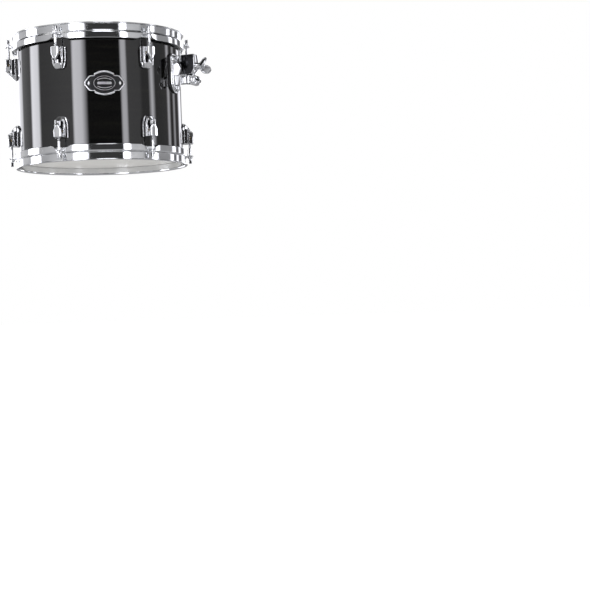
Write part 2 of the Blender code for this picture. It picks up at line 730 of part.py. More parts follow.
def clamp_side(start):
    """The side view of the clamp from a start radius: its top, the V-shaped front, its foot and back slope."""
    share = (CLAMP_FOOT - start) / (CLAMP_FOOT - ARM_START)
    slope_height = CLAMP_BOTTOM + share * (ARM_BOTTOM - CLAMP_BOTTOM)
    return [
        (start, CLAMP_TOP),
        (CLAMP_FACE, CLAMP_TOP),
        (CLAMP_FACE, FACE_BOTTOM),
        (SHELL_RADIUS + CLAMP_FOOT_REACH, CLAMP_BOTTOM),
        (CLAMP_FOOT, CLAMP_BOTTOM),
        (start, slope_height),
    ]


def build_bracket_body():
    plate = prism(stadium(PLATE_HALF_WIDTH, PLATE_BOTTOM, PLATE_TOP), PLATE_BACK, PLATE_FACE, "X")
    arm = prism(clamp_side(ARM_START), -ARM_HALF_WIDTH, ARM_HALF_WIDTH, "Y")
    cheeks = prism(clamp_side(SHELL_RADIUS + CHEEK_START), -CHEEK_HALF_WIDTH, CHEEK_HALF_WIDTH, "Y")
    web_low = ((PLATE_BACK + PLATE_FACE) / 2, -WEB_HALF_WIDTH, CLAMP_BOTTOM + GAP)
    web_high = (CLAMP_FOOT + GAP, WEB_HALF_WIDTH, WEB_TOP)
    web = box(web_low, web_high)
    seat = cylinder(WING_SEAT_RADIUS, CLAMP_AXIS + EYE_RADIUS + 2 * GAP, CLAMP_FACE, "X", (0.0, EYE_HEIGHT), 12)
    pocket_floor = EYE_HEIGHT - EYE_THICKNESS / 2 - GAP
    pocket_low = (CLAMP_AXIS - EYE_RADIUS - EYE_TRAVEL - 2 * GAP, -POCKET_HALF_WIDTH, pocket_floor)
    pocket_high = (CLAMP_AXIS + EYE_RADIUS + GAP, POCKET_HALF_WIDTH, CLAMP_TOP + GAP)
    centre = (CLAMP_AXIS, 0.0)
    bore = cylinder(ARM_BORE_RADIUS, CLAMP_BOTTOM - WEB_HALF_WIDTH, pocket_floor + GAP, "Z", centre, 12)
    shank_hole_radius = EYE_SHANK_RADIUS + SHANK_PLAY
    shank_hole = cylinder(shank_hole_radius, CLAMP_AXIS, CLAMP_FACE + GAP, "X", (0.0, EYE_HEIGHT), 12)
    bolt_radius = BRACKET_BOLT_RADIUS + BRACKET_BOLT_HOLE_PLAY
    body = combine(
        plate,
        ("UNION", web),
        ("UNION", arm),
        ("UNION", cheeks),
        ("UNION", seat),
        ("DIFFERENCE", box(pocket_low, pocket_high)),
        ("DIFFERENCE", bore),
        ("DIFFERENCE", shank_hole),
        ("DIFFERENCE", bracket_holes(PLATE_BACK - GAP, PLATE_FACE + GAP, bolt_radius)),
    )
    place("bracket_body", body, CHROME)


def build_bracket_fixings():
    hole_radius = BRACKET_BOLT_RADIUS + BRACKET_BOLT_HOLE_PLAY
    outline = stadium(PLATE_HALF_WIDTH + GAP, PLATE_BOTTOM - GAP, PLATE_TOP + GAP)
    pad = prism(outline, SHELL_RADIUS - SHELL_WALL, SHELL_RADIUS + GAP + BRACKET_GASKET_THICKNESS, "X")
    shell_profile = [(0.0, SHELL_HALF), (SHELL_RADIUS + GAP, SHELL_HALF)]
    shell_profile += [(SHELL_RADIUS + GAP, -SHELL_HALF), (0.0, -SHELL_HALF)]
    holes = bracket_holes(SHELL_RADIUS - SHELL_WALL, PLATE_FACE, hole_radius)
    gasket = combine(pad, ("DIFFERENCE", turned(shell_profile, ROUND_STEPS)), ("DIFFERENCE", holes))
    place("bracket_gasket", gasket, RUBBER)

    shell_inner = (SHELL_RADIUS - SHELL_WALL) * math.cos(math.pi / ROUND_STEPS)
    plate_high = math.sqrt(shell_inner ** 2 - PLATE_HALF_WIDTH ** 2) - GAP
    plate_low = plate_high - BACKING_PLATE_THICKNESS
    backing = prism(stadium(PLATE_HALF_WIDTH, PLATE_BOTTOM, PLATE_TOP), plate_low, plate_high, "X")
    nut_low = plate_low - BRACKET_NUT_HEIGHT
    nut_high = plate_high - GAP
    nuts = [cylinder(BRACKET_NUT_RADIUS, nut_low, nut_high, "X", spot, 6) for spot in BRACKET_BOLT_PLACES]
    threads = bracket_holes(nut_low - GAP, plate_high + GAP, hole_radius)
    backing = combine(backing, ("UNION", merged(nuts)), ("DIFFERENCE", threads))
    place("bracket_backing_plate", backing, STEEL)

    head_low = PLATE_FACE + GAP
    for number, spot in enumerate(BRACKET_BOLT_PLACES, 1):
        head = cylinder(BRACKET_BOLT_HEAD_RADIUS, head_low, BOLT_HEAD_TOP, "X", spot, 12)
        shank = cylinder(BRACKET_BOLT_RADIUS, nut_low - GAP, head_low + GAP, "X", spot, 8)
        place(f"bracket_bolt_{number}", combine(head, ("UNION", shank)), CHROME)


def build_eye_bolt():
    low = EYE_HEIGHT - EYE_THICKNESS / 2
    high = EYE_HEIGHT + EYE_THICKNESS / 2
    centre = (CLAMP_AXIS, 0.0)
    ring = cylinder(EYE_RADIUS, low, high, "Z", centre, 16)
    shank_start = CLAMP_AXIS + EYE_RADIUS - EYE_SHANK_RADIUS / 2
    shank = cylinder(EYE_SHANK_RADIUS, shank_start, EYE_SHANK_END, "X", (0.0, EYE_HEIGHT), 12)
    bore = cylinder(ARM_BORE_RADIUS, low - GAP, high + GAP, "Z", centre, 12)
    eye = combine(ring, ("UNION", shank), ("DIFFERENCE", bore))
    place("eye_bolt", moved(eye, -CLAMP_AXIS, -EYE_HEIGHT), STEEL, origin=(CLAMP_AXIS, 0.0, EYE_HEIGHT))


def paddle():
    """One wing as a flat plate in the XZ plane, from the hub's axis out along +X."""
    outline = [(WING_PADDLE_RADIUS / 4, WING_NECK_HALF), (WING_PADDLE_RADIUS / 4, -WING_NECK_HALF)]
    outline += arc((WING_PADDLE_OFFSET, 0.0), WING_PADDLE_RADIUS, -145, 145, 10)
    half = WING_THICKNESS / 2
    return prism(outline, -half, half, "Y")


def build_wing_nut():
    """Hub and two splayed paddles about the X axis, its seat at X = 0."""
    hub = cylinder(WING_HUB_RADIUS, 0.0, WING_HUB_LENGTH, "X", (0.0, 0.0), 12)
    bore = cylinder(EYE_SHANK_RADIUS + SHANK_PLAY, -GAP, WING_HUB_LENGTH + WING_HUB_RADIUS, "X", (0.0, 0.0), 12)
    wings = []
    for side in (1, -1):
        wing = paddle()
        wing.transform(Matrix.Rotation(side * WING_SPLAY, 4, "Z"))
        wings.append(("UNION", wing))
    space = box((-WING_HUB_LENGTH, -WING_HUB_RADIUS, -WING_HUB_RADIUS), (0.0, WING_HUB_RADIUS, WING_HUB_RADIUS))
    nut = combine(hub, *wings, ("DIFFERENCE", space), ("DIFFERENCE", bore))
    nut.transform(Matrix.Rotation(WING_REST_TURN, 4, "X"))
    place("wing_nut", nut, CHROME, origin=(WING_START, 0.0, EYE_HEIGHT))
    washer_profile = ring_profile(EYE_SHANK_RADIUS + SHANK_PLAY, WING_WASHER_RADIUS, 0.0, WING_WASHER_THICKNESS)
    washer = turned(washer_profile, 12)
    washer.transform(AXIS_TURNS["X"])
    place("wing_nut_washer", washer, CHROME, origin=(WING_WASHER_START, 0.0, EYE_HEIGHT))


def lock_half(side, knuckle_lows_highs):
    """Half of the collar on one side of its split: -1 is the hinged half, +1 the fixed half."""
    centre = (CLAMP_AXIS, 0.0)
    collar_top = CLAMP_BOTTOM - GAP if side > 0 else LOCK_TOP
    collar = cylinder(LOCK_RADIUS, LOCK_BOTTOM, collar_top, "Z", centre, 16)
    bar_low = (LOCK_HINGE_AXIS, min(0.0, side * LOCK_BAR_DEPTH), LOCK_BOTTOM + GAP)
    bar_high = (LOCK_BOLT_AXIS, max(0.0, side * LOCK_BAR_DEPTH), LOCK_TOP - GAP)
    bar = box(bar_low, bar_high)
    boss_ends = sorted((0.0, side * LOCK_BOSS_DEPTH))
    boss = cylinder(LOCK_BOSS_RADIUS, *boss_ends, "Y", (LOCK_BOLT_AXIS, LOCK_BOLT_HEIGHT), 16)
    other = LOCK_RADIUS + LOCK_BOSS_DEPTH
    cut_near, cut_far = sorted((side * LOCK_SPLIT, -side * other))
    low = (LOCK_HINGE_AXIS - other, cut_near, LOCK_BOLT_HEIGHT - other)
    high = (LOCK_BOLT_AXIS + other, cut_far, CLAMP_BOTTOM)
    away = box(low, high)
    hinge = (LOCK_HINGE_AXIS, 0.0)
    knuckle_space = cylinder(LOCK_KNUCKLE_RADIUS + GAP, LOCK_BOTTOM - GAP, LOCK_TOP + GAP, "Z", hinge, 12)
    steps = [("UNION", bar), ("UNION", boss), ("DIFFERENCE", away), ("DIFFERENCE", knuckle_space)]
    for low, high in knuckle_lows_highs:
        knuckle = cylinder(LOCK_KNUCKLE_RADIUS, low, high, "Z", hinge, 12)
        link_near, link_far = sorted((side * (LOCK_SPLIT + GAP), side * (LOCK_KNUCKLE_RADIUS - GAP)))
        link_low = (LOCK_HINGE_AXIS, link_near, low)
        link_high = (LOCK_HINGE_AXIS + 2 * LOCK_KNUCKLE_RADIUS, link_far, high)
        steps.append(("UNION", combine(knuckle, ("UNION", box(link_low, link_high)))))
    arm_bore = cylinder(ARM_BORE_RADIUS, LOCK_BOTTOM - LOCK_BOSS_RADIUS, CLAMP_BOTTOM, "Z", centre, 12)
    pin_hole = cylinder(LOCK_PIN_RADIUS + LOCK_PIN_PLAY, LOCK_BOTTOM - GAP, LOCK_TOP + GAP, "Z", hinge, 8)
    steps += [("DIFFERENCE", arm_bore), ("DIFFERENCE", pin_hole)]
    return combine(collar, *steps)


def build_memory_lock():
    third = LOCK_HEIGHT / 3
    lower_end = LOCK_BOTTOM + third
    upper_start = LOCK_TOP - third
    body = lock_half(1, [(LOCK_BOTTOM, lower_end - GAP), (upper_start + GAP, LOCK_TOP)])
    gate = lock_half(-1, [(lower_end, upper_start)])
    slot_half = LOCK_BOLT_RADIUS + 2 * GAP
    depth = LOCK_BOSS_DEPTH + GAP
    bolt_spot = (LOCK_BOLT_AXIS, LOCK_BOLT_HEIGHT)
    thread = cylinder(slot_half, -GAP, depth, "Y", bolt_spot, 8)
    body = combine(body, ("DIFFERENCE", thread))
    slot_low = (LOCK_BOLT_AXIS - slot_half, -depth, LOCK_BOLT_HEIGHT - slot_half)
    slot_high = (LOCK_BOLT_AXIS + 2 * LOCK_BOSS_RADIUS, GAP, LOCK_BOLT_HEIGHT + slot_half)
    gate = combine(gate, ("DIFFERENCE", box(slot_low, slot_high)))
    place("memory_lock_body", body, CHROME)
    hinge = (LOCK_HINGE_AXIS, 0.0, LOCK_MIDDLE)
    gate = moved(gate, -LOCK_HINGE_AXIS, -LOCK_MIDDLE)
    place("memory_lock_gate", gate, CHROME, origin=hinge)
    pin_axis = (LOCK_HINGE_AXIS, 0.0)
    pin = cylinder(LOCK_PIN_RADIUS, LOCK_BOTTOM, LOCK_TOP, "Z", pin_axis, 8)
    place("memory_lock_hinge_pin", pin, STEEL)

    washer_inner = LOCK_BOLT_RADIUS + 2 * GAP
    washer = turned(ring_profile(washer_inner, LOCK_WASHER_RADIUS, 0.0, LOCK_WASHER_THICKNESS), 12)
    washer.transform(Matrix.Rotation(math.radians(90), 4, "X"))
    seat = -LOCK_BOSS_DEPTH - GAP
    place("key_bolt_washer", washer, STEEL, origin=(LOCK_BOLT_AXIS, seat, LOCK_BOLT_HEIGHT))
    head_bottom = LOCK_WASHER_THICKNESS + GAP
    flange_top = head_bottom + ROD_FLANGE_HEIGHT
    profile = [
        (0.0, flange_top),
        (ROD_FLANGE_RADIUS, flange_top),
        (ROD_FLANGE_RADIUS, head_bottom),
        (LOCK_BOLT_RADIUS, head_bottom),
        (LOCK_BOLT_RADIUS, -LOCK_BOLT_LENGTH),
        (0.0, -LOCK_BOLT_LENGTH),
    ]
    half = KEY_HEAD_SIZE / 2
    head = box((-half, -half, flange_top - GAP), (half, half, flange_top + KEY_HEAD_SIZE))
    bolt = combine(turned(profile, ROD_SIDES), ("UNION", head))
    bolt.transform(Matrix.Rotation(math.radians(90), 4, "X"))
    place("memory_lock_key_bolt", bolt, CHROME, origin=(LOCK_BOLT_AXIS, seat, LOCK_BOLT_HEIGHT))


build_shell()
build_heads()
build_hoops()
build_rods()
build_lugs()
build_badge()
build_vent()
build_bracket_body()
build_bracket_fixings()
build_eye_bolt()
build_wing_nut()
build_memory_lock()
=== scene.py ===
"""The looks of a double-headed concert tom: lacquered shell, pressed hoops, cast lugs and an arm clamp.

Metres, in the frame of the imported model. Heights are measured from the shell's middle plane and radii
from its axis, as on the real drum, and the matrix DRUM puts them in place.
"""

from math import acos, atan2, cos, pi, radians, sin, sqrt, tan

import bmesh
import bpy
import numpy as np
from mathutils import Matrix, Vector


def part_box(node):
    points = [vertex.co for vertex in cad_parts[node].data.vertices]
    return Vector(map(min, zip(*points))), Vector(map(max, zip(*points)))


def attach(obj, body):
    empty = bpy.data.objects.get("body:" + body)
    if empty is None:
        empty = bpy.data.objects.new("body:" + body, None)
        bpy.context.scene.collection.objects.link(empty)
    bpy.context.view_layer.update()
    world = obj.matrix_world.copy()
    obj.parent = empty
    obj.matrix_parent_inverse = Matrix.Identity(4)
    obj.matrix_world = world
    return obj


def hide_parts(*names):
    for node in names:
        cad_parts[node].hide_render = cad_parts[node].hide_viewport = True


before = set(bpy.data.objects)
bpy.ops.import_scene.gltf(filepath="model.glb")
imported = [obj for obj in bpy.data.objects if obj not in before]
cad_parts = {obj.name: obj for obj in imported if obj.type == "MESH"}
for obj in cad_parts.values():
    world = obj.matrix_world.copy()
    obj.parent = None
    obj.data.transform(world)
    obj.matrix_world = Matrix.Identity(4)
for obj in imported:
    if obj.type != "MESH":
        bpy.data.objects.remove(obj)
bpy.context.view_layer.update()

# Places and sizes read from the frame
SHELL_LOW, SHELL_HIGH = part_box("shell")
AXIS_X = (SHELL_HIGH.x + SHELL_LOW.x) / 2
MIDDLE = (SHELL_HIGH.z + SHELL_LOW.z) / 2


def levels(node):
    """A node's lowest and highest level from the middle plane."""
    return [corner.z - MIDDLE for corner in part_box(node)]


def depths(node):
    """A node's least and greatest place along X from the drum's axis."""
    return [corner.x - AXIS_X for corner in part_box(node)]


def half_width(node):
    low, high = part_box(node)
    return (high.x - low.x) / 2


SHELL_RADIUS = half_width("shell")
SHELL_HALF = (SHELL_HIGH.z - SHELL_LOW.z) / 2
SKIRT_BOTTOM, RIM_HEIGHT = levels("batter_hoop")
FILM_BOTTOM, FILM_TOP = levels("batter_film")
COLLAR_RADIUS = half_width("batter_film")
FLESH_BOTTOM, FLESH_TOP = levels("batter_flesh_hoop")
FLESH_RADIUS = half_width("batter_flesh_hoop")
ROD_END, ROD_TOP = levels("upper_tension_rod_2")
ROD_CIRCLE = -sum(corner.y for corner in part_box("upper_tension_rod_2")) / 2
LUG_BOTTOM, LUG_TOP = levels("upper_lug_2")
LUG_FACE, LUG_SCREW_END = [-corner.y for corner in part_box("upper_lug_2")]
NUT_HEIGHT = sum(levels("upper_swivel_nut_2")) / 2
NUT_HALF = half_width("upper_swivel_nut_2")
PLATE_BOTTOM, PLATE_TOP = levels("bracket_gasket")
PLATE_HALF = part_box("bracket_gasket")[1].y
EYE_HEIGHT = sum(levels("wing_nut_washer")) / 2
EYE_SHANK_END = depths("eye_bolt")[1]
WING_START = depths("wing_nut")[0]
CLAMP_FACE = depths("wing_nut_washer")[0]
LOCK_BOTTOM, LOCK_TOP = levels("memory_lock_hinge_pin")
HINGE_RADIUS = sum(depths("memory_lock_hinge_pin")) / 2
KEY_BOLT_PLACE = sum(depths("key_bolt_washer")) / 2
KEY_BOLT_LEVEL = sum(levels("key_bolt_washer")) / 2
KEY_BOLT_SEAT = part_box("key_bolt_washer")[1].y

# Clearances: between neighbours, within the pads, and how far a cutting shape runs past what it cuts
GAP = 0.0003
PAD_CLEARANCE = 0.00004
PAD_GAP = 0.0001
PAST = 0.001
FAR_PAST = 0.01

# Shell and heads
SHELL_WALL = 0.006
SHELL_CREST_INSET = 0.0018
SHELL_EASES = [0.0004, 0.002, 0.002, 0.0004, 0.001, 0.001]
SHELL_SIDES = 256
VENT_HOLE_RADIUS = 0.0064
FILM_THICKNESS = 0.0005
FILM_SHOULDER = 0.0026
FLESH_EASES = [0.0012, 0.0022, 0.0008, 0.0008]
HEAD_SIDES = 192

# Hoops
HOOP_SHEET = 0.0023
HOOP_WALL_RADIUS = 0.18135
HOOP_SKIRT_RADIUS = 0.18685
HOOP_RIM_RADIUS = 0.187
HOOP_RIM_BEND = 0.0019
HOOP_BEND = 0.0017
HOOP_SOFT_BEND = 0.0029
LEDGE_TILT = radians(9)
LEDGE_HEIGHT = 0.12472
LEDGE_PLACE = 0.1849
EAR_HEIGHT = 0.12135
EAR_ROOT = 0.188
EAR_ROOT_HALF = 0.011
EAR_TIP_RADIUS = 0.0075
EAR_TIP_SPREAD = radians(80)
EAR_SPAN = radians(9.4)
EAR_COLUMNS = 110
SCALLOP_COLUMNS = 44
SCALLOP_TOP_HALF = 0.0105
SCALLOP_BOTTOM_HALF = 0.029
EAR_FADE = (SCALLOP_TOP_HALF - 0.0012, SCALLOP_TOP_HALF + 0.0004)
BEND_FADE = (0.012, 0.020)
SHORTEST_RUN = 0.00002

# Tension rods
ROD_RADIUS = 0.00275
ROD_HOLE_RADIUS = 0.0036
ROD_SEAT = 0.1228
ROD_WASHER_RADIUS = 0.006
ROD_WASHER_THICKNESS = 0.0015
ROD_FLANGE_RADIUS = 0.0052
ROD_FLANGE_HEIGHT = 0.003
ROD_FLANGE_SLOPE = 0.0007
ROD_NECK_RADIUS = 0.0034
ROD_NECK_HEIGHT = 0.002
ROD_SIDES = 40
KEY_HEAD = 0.00635
BAR_CHAMFER = 0.0005
THREAD_PITCH = 0.001058
THREAD_START = 0.0012
THREAD_TOP = 0.104
THREAD_DEPTH = 0.00028
THREAD_ROWS = 6
KEY_HEAD_EDGE = 0.0006

# Lugs, from the back to the face, and the heights between which their features change
LUG_ANGLES = [radians(angle) for angle in (-150, -90, -30, 30, 90, 150)]
LUG_BACK = 0.1793
LUG_FLANGE_HALF = 0.015
LUG_FLANGE_FACE = 0.1821
LUG_FLANK_BASE = 0.1858
LUG_GROOVE_FLOOR = 0.1862
LUG_FRAME_FACE = 0.1898
LUG_RIDGE_FACE = 0.1930
LUG_CHANNEL_DEPTH = 0.0034
LUG_FRAME_DROP = 0.0008
LUG_FLANGE_DROP = 0.0009
LUG_BODY_HALF = 0.0125
LUG_STRUT_HALF = 0.0022
LUG_BOSS_HALF = 0.0085
LUG_TIP_RIM = 0.0042
LUG_FRAME_WIDTH = 0.0012
LUG_RIDGE_INSET = 0.0034
LUG_RIDGE_SHARE = 0.77
LUG_RIDGE_WIDTH = 0.0010
LUG_FACE_END = 0.0695
LUG_TIP_FACE = 0.1838
LUG_TIP_HALF = 0.0055
LUG_TIP_BLEND = (0.0598, 0.0622)
LUG_BOSS_BLEND = (0.0675, 0.0785)
LUG_ARCH_START = 0.0625
LUG_ARCH_HEIGHT = 0.0080
LUG_RIDGE_BLEND = (0.190, 0.198)
LUG_CHANNEL_BLEND = (0.0745, 0.0770)
LUG_DRAFT = 0.0002
LUG_EASE = 0.0003
LUG_FACE_EASE = 0.0022
LUG_SLIM = 0.4
LUG_NARROW = 0.5
LUG_BOTTOM_DRAW = 0.7
# Where the lugs' painted groove shade stops: above this tip share, behind this radius and outside these
# heights
SHADE_TIP = 0.6
SHADE_BACK = LUG_BACK + 0.0005
SHADE_LOW = LUG_BOTTOM + 0.004
SHADE_HIGH = LUG_TOP - 0.0006
LUG_LEVELS = 80
LUG_TOP_EASE = 0.0015
LUG_BOTTOM_EASE = 0.0022
LUG_BORE_RADIUS = 0.0039
LUG_MOUTH = 0.0016
LUG_SCREW_HEIGHTS = (0.086, 0.060)
LUG_SCREW_HEAD = 0.0045
LUG_SCREW_RADIUS = 0.0022
LUG_SCREW_SEAT = SHELL_RADIUS - SHELL_WALL - 0.0007
NUT_RADIUS = 0.0043
NUT_POCKET_RADIUS = 0.0047
NUT_HOLE_RADIUS = 0.0026
NUT_THREAD_REACH = 0.006
LUG_PAD_BURY = 0.003
LUG_PAD_RISE = 0.0004
LUG_PAD_PROUD = 0.0005

# Badge: its outline, then the levels of its layers above the shell
BADGE_ANGLE = radians(-60)
BADGE_HEIGHT = 0.0165
BADGE_HALF_WIDTH = 0.0412
BADGE_HALF_HEIGHT = 0.0256
BADGE_CORE_HALF = 0.0205
BADGE_CORE_SIDE = 0.0203
BADGE_WING_SIDE = 0.0160
BADGE_SHOULDER = 0.031
BADGE_TIP_HALF = 0.003
BADGE_TIP_DRAW = 1.4
BADGE_CORE_DRAW = 0.4
BADGE_STEPS = 12
BADGE_SIDES = 360
OVAL_SIDES = 64
BADGE_RIM_WIDTH = 0.0014
BADGE_ARCH_WIDTH = 0.0032
BADGE_GROUND_INSET = 0.0004
BADGE_BASE = 0.0003
BADGE_GROUND_TOP = 0.0011
BADGE_RIM_TOP = 0.0018
RELIEF_BASE = 0.00112
RELIEF_TOP = 0.0016
PLAQUE_TOP = 0.0017
PLAQUE_HALF_WIDTH = 0.0150
PLAQUE_HALF_HEIGHT = 0.0026
OVAL_HALF_WIDTH = 0.0225
OVAL_HALF_HEIGHT = 0.0150
OVAL_LINE = 0.0008
BOW_HALF_WIDTH = 0.0145
BOW_HEIGHT = 0.0106
BOW_DROP = 0.0032
BOW_LINE = 0.0012
LOZENGE_MIDDLE = 0.0325
LOZENGE_HALF_WIDTH = 0.0025
LOZENGE_HALF_HEIGHT = 0.0045

# Air vent
VENT_BORE = 0.0045
VENT_NECK = 0.0058
VENT_CREST = 0.0065
VENT_FLANGE = 0.0095
VENT_NUT = 0.0090
VENT_RISE = 0.0015
VENT_EDGE = 0.0006
VENT_INNER_GAP = 0.0005
VENT_EASES = [0.0004, 0.0001, 0, 0, 0.0001, 0.0004, 0.0006, 0.0006, 0.0012]

# Clamp bracket
PLATE_BACK = 0.1799
PLATE_STEP = 0.1834
PLATE_FACE = 0.1859
PLATE_STEP_INSET = 0.0026
PLATE_OVERLAP = 0.002
PLATE_PAD_PROUD = 0.0002
PLATE_PAD_BURY = 0.004
ARM_START = 0.1903
ARM_START_HALF = 0.0127
ARM_HALF = 0.0108
ARM_INSET = 0.0003
ARM_BOTTOM = 0.0745
ARM_BORE = 0.00675
NECK_HALF = 0.0105
NECK_LEVELS = (0.0700, 0.0848)
CHEEK_START = 0.2013
CHEEK_START_HALF = 0.0121
CHEEK_END_HALF = 0.0139
CLAMP_TOP = 0.0855
CLAMP_BOTTOM = 0.0435
CLAMP_AXIS = 0.2153
CLAMP_BLOCK_FACE = 0.2318
CLAMP_FOOT = 0.2063
CLAMP_FOOT_END = 0.2253
CLAMP_FACE_BOTTOM = 0.055
POCKET_HALF = 0.0101
WEB_ROOT_HALF = 0.0108
WEB_HALF = 0.0052
BOLT_PLACES = ((-0.0122, 0.0775), (0.0122, 0.0775), (0.0, 0.0165))
BOLT_HOLE_RADIUS = 0.0035
BOLT_SHANK_RADIUS = 0.003
BOLT_HEAD_RADIUS = 0.008
BOLT_HEAD_HEIGHT = 0.0038
BOLT_HEAD_EDGE = 0.0016
BOLT_HEAD_FLAT = 0.0052
BOLT_SLOT_RADIUS = 0.0014
BOLT_SLOT_PLACE = 0.0033
BOLT_SLOT_DEPTH = 0.0018
EYE_RADIUS = 0.0098
EYE_THICKNESS = 0.009
EYE_TRAVEL = 0.003
EYE_SHANK_RADIUS = 0.004
EYE_HOLE_RADIUS = EYE_SHANK_RADIUS + 0.00045
EYE_THREAD_LENGTH = 0.020
EYE_THREAD_END = 0.0006
EYE_THREAD_PITCH = 0.00125
EYE_THREAD_DEPTH = 0.0004
WING_SEAT_RADIUS = 0.0085
WING_WASHER_RADIUS = 0.0082
WING_WASHER_THICKNESS = 0.0015
WING_HUB_RADIUS = 0.0072
WING_HUB_TAPER = 0.0006
WING_HUB_LENGTH = 0.0115
WING_SPLAY = radians(32)
WING_PADDLE_RADIUS = 0.012
WING_PADDLE_OFFSET = 0.0195
WING_RIM_INNER = 0.0032
WING_RIM_OUTER = 0.0022
WING_DISH = 0.0009
WING_NECK_HALF = 0.005
WING_NECK_START = 0.003
WING_NECK_INSET = 0.0002
WING_THICKNESS = 0.0034
WING_TURN = radians(-40)

# Memory lock
LOCK_RADIUS = 0.0108
LOCK_SPLIT = 0.0002
LOCK_REACH = (0.15, 0.26)
LOCK_DEPTH = 0.03
LOCK_KNUCKLE_RADIUS = 0.0055
LOCK_PIN_RADIUS = 0.002
LOCK_PIN_HOLE = 0.0024
LOCK_BAR_DEPTH = 0.0075
LOCK_CAP_START = 0.2056
LOCK_CAP_END = 0.2150
LOCK_CAP_DEPTHS = (0.0066, 0.0094)
LOCK_CAP_INSET = 0.0012
LOCK_BOSS_RADIUS = 0.0108
LOCK_BOSS_DEPTH = 0.011
LOCK_DISH_DEPTH = 0.0006
LOCK_DISH_RADII = (0.0078, 0.0070)
KEY_BOLT_RADIUS = 0.00275
KEY_BOLT_LENGTH = 0.0185
KEY_BOLT_PITCH = 0.001
KEY_BOLT_DEPTH = 0.0003
KEY_BOLT_THREAD_TOP = -0.002
KEY_BOLT_SLOPE = 0.0006
KEY_WASHER_RADIUS = 0.0062
KEY_WASHER_THICKNESS = 0.0012

# The photograph's camera, found from the hoops' outlines
IMAGE_WIDTH = 590
FOCAL_PIXELS = 1445
SENSOR = 36.0
CAMERA_TURN = radians(19.33)
CAMERA_ROLL = radians(-2.0)
CAMERA_OFFSET = Vector((0.4286, -0.4243, 3.18))
CAMERA_REACH = 100.0

# Studio: what gloss sees round the drum, as (azimuth in degrees from -Y towards +X, level)
STRIP_PEAK = 8.0
STRIPS = (
    (-180, 3.0), (-170, 0.3), (-148, 0.3), (-142, 2.4), (-113, 2.4), (-109, 0.6), (-86, 0.5), (-82, 7.0),
    (-68, 7.0), (-64, 0.4), (-27, 0.6), (-12.5, 0.65), (-9.5, 7.4), (1, 6.6), (10, 0.04), (55, 0.04),
    (58, 5.0), (63, 5.0), (66, 0.6), (84, 0.55), (88, 0.3), (98.5, 0.3), (104.5, 5.2), (110.5, 0.3),
    (134, 0.3), (138.5, 3.2), (144, 0.15), (149, 0.15), (154, 1.8), (159, 0.15), (168, 0.15), (174, 3.0),
)
STRIP_HEIGHTS = ((-0.30, 0.0), (-0.20, 1.0), (0.30, 1.0), (0.42, 0.0))
CEILING = ((-0.6, 0.42), (-0.3, 0.30), (-0.1, 0.0), (0.5, 0.0), (0.7, 0.07), (0.9, 0.07), (0.95, 0.5))
HIGH_PANEL_LEVEL = 4.5
HIGH_PANEL = ((18, 0.0), (22, HIGH_PANEL_LEVEL), (46, HIGH_PANEL_LEVEL), (50, 0.0))
HIGH_PANEL_HEIGHTS = ((0.40, 0.0), (0.46, 1.0), (0.74, 1.0), (0.80, 0.0))
COOL_TINT = 1.03
COOL_FROM = 0.2
ROOM_LEVEL = 0.90
LAMP_LEVEL = 1.8
LAMP_SIZE = 1.6
LAMP_PLACE = (-1.6, -1.7, 2.6)
FLOOR_HEIGHT = -0.81
FLOOR_HALF = 30.0
FLOOR_THICKNESS = 0.02
FLOOR_GLOW = 0.32
WHITE = (1.0, 1.0, 1.0, 1.0)

# Where meshes are put: the lower side's pieces are the upper side's turned over
CENTRE = (0.0, 0.0, 0.0)
ROD_AXIS = (ROD_CIRCLE, 0.0, 0.0)
NUT_PLACE = (ROD_CIRCLE, 0.0, NUT_HEIGHT)
EYE_LEVEL = (0.0, 0.0, EYE_HEIGHT)
ARM_AXIS = (CLAMP_AXIS, 0.0, 0.0)
HINGE_AXIS = (HINGE_RADIUS, 0.0, 0.0)
KEY_BOLT_AXIS = (KEY_BOLT_PLACE, 0.0, KEY_BOLT_LEVEL)
DRUM = Matrix.Translation((AXIS_X, 0.0, MIDDLE))
OVER = Matrix.Rotation(pi, 4, "X")
TURNS = {
    "X": Matrix.Rotation(radians(90), 4, "Y"),
    "Y": Matrix.Rotation(radians(-90), 4, "X"),
    "Z": Matrix.Identity(4),
}
LUG_PLACES = [
    (side, number, DRUM @ Matrix.Rotation(angle, 4, "Z") @ over)
    for side, over in (("upper", Matrix.Identity(4)), ("lower", OVER))
    for number, angle in enumerate(LUG_ANGLES, 1)
]
WELD = 0.000001
CREASE = radians(38)
STRAIGHT = 0.01
EDGE_SHARE = 0.48
NOISE_SPAN = (0.3, 0.7)


# Numbers
def share_of(value, low, high):
    """How far a value has come from low to high, kept between 0 and 1."""
    return min(1.0, max(0.0, (value - low) / (high - low)))


def smooth(value, low, high):
    share = share_of(value, low, high)
    return share * share * (3 - 2 * share)


# Mesh tools
def mesh_of(bm, mesh=None):
    mesh = mesh or bpy.data.meshes.new("mesh")
    bm.to_mesh(mesh)
    bm.free()
    return mesh


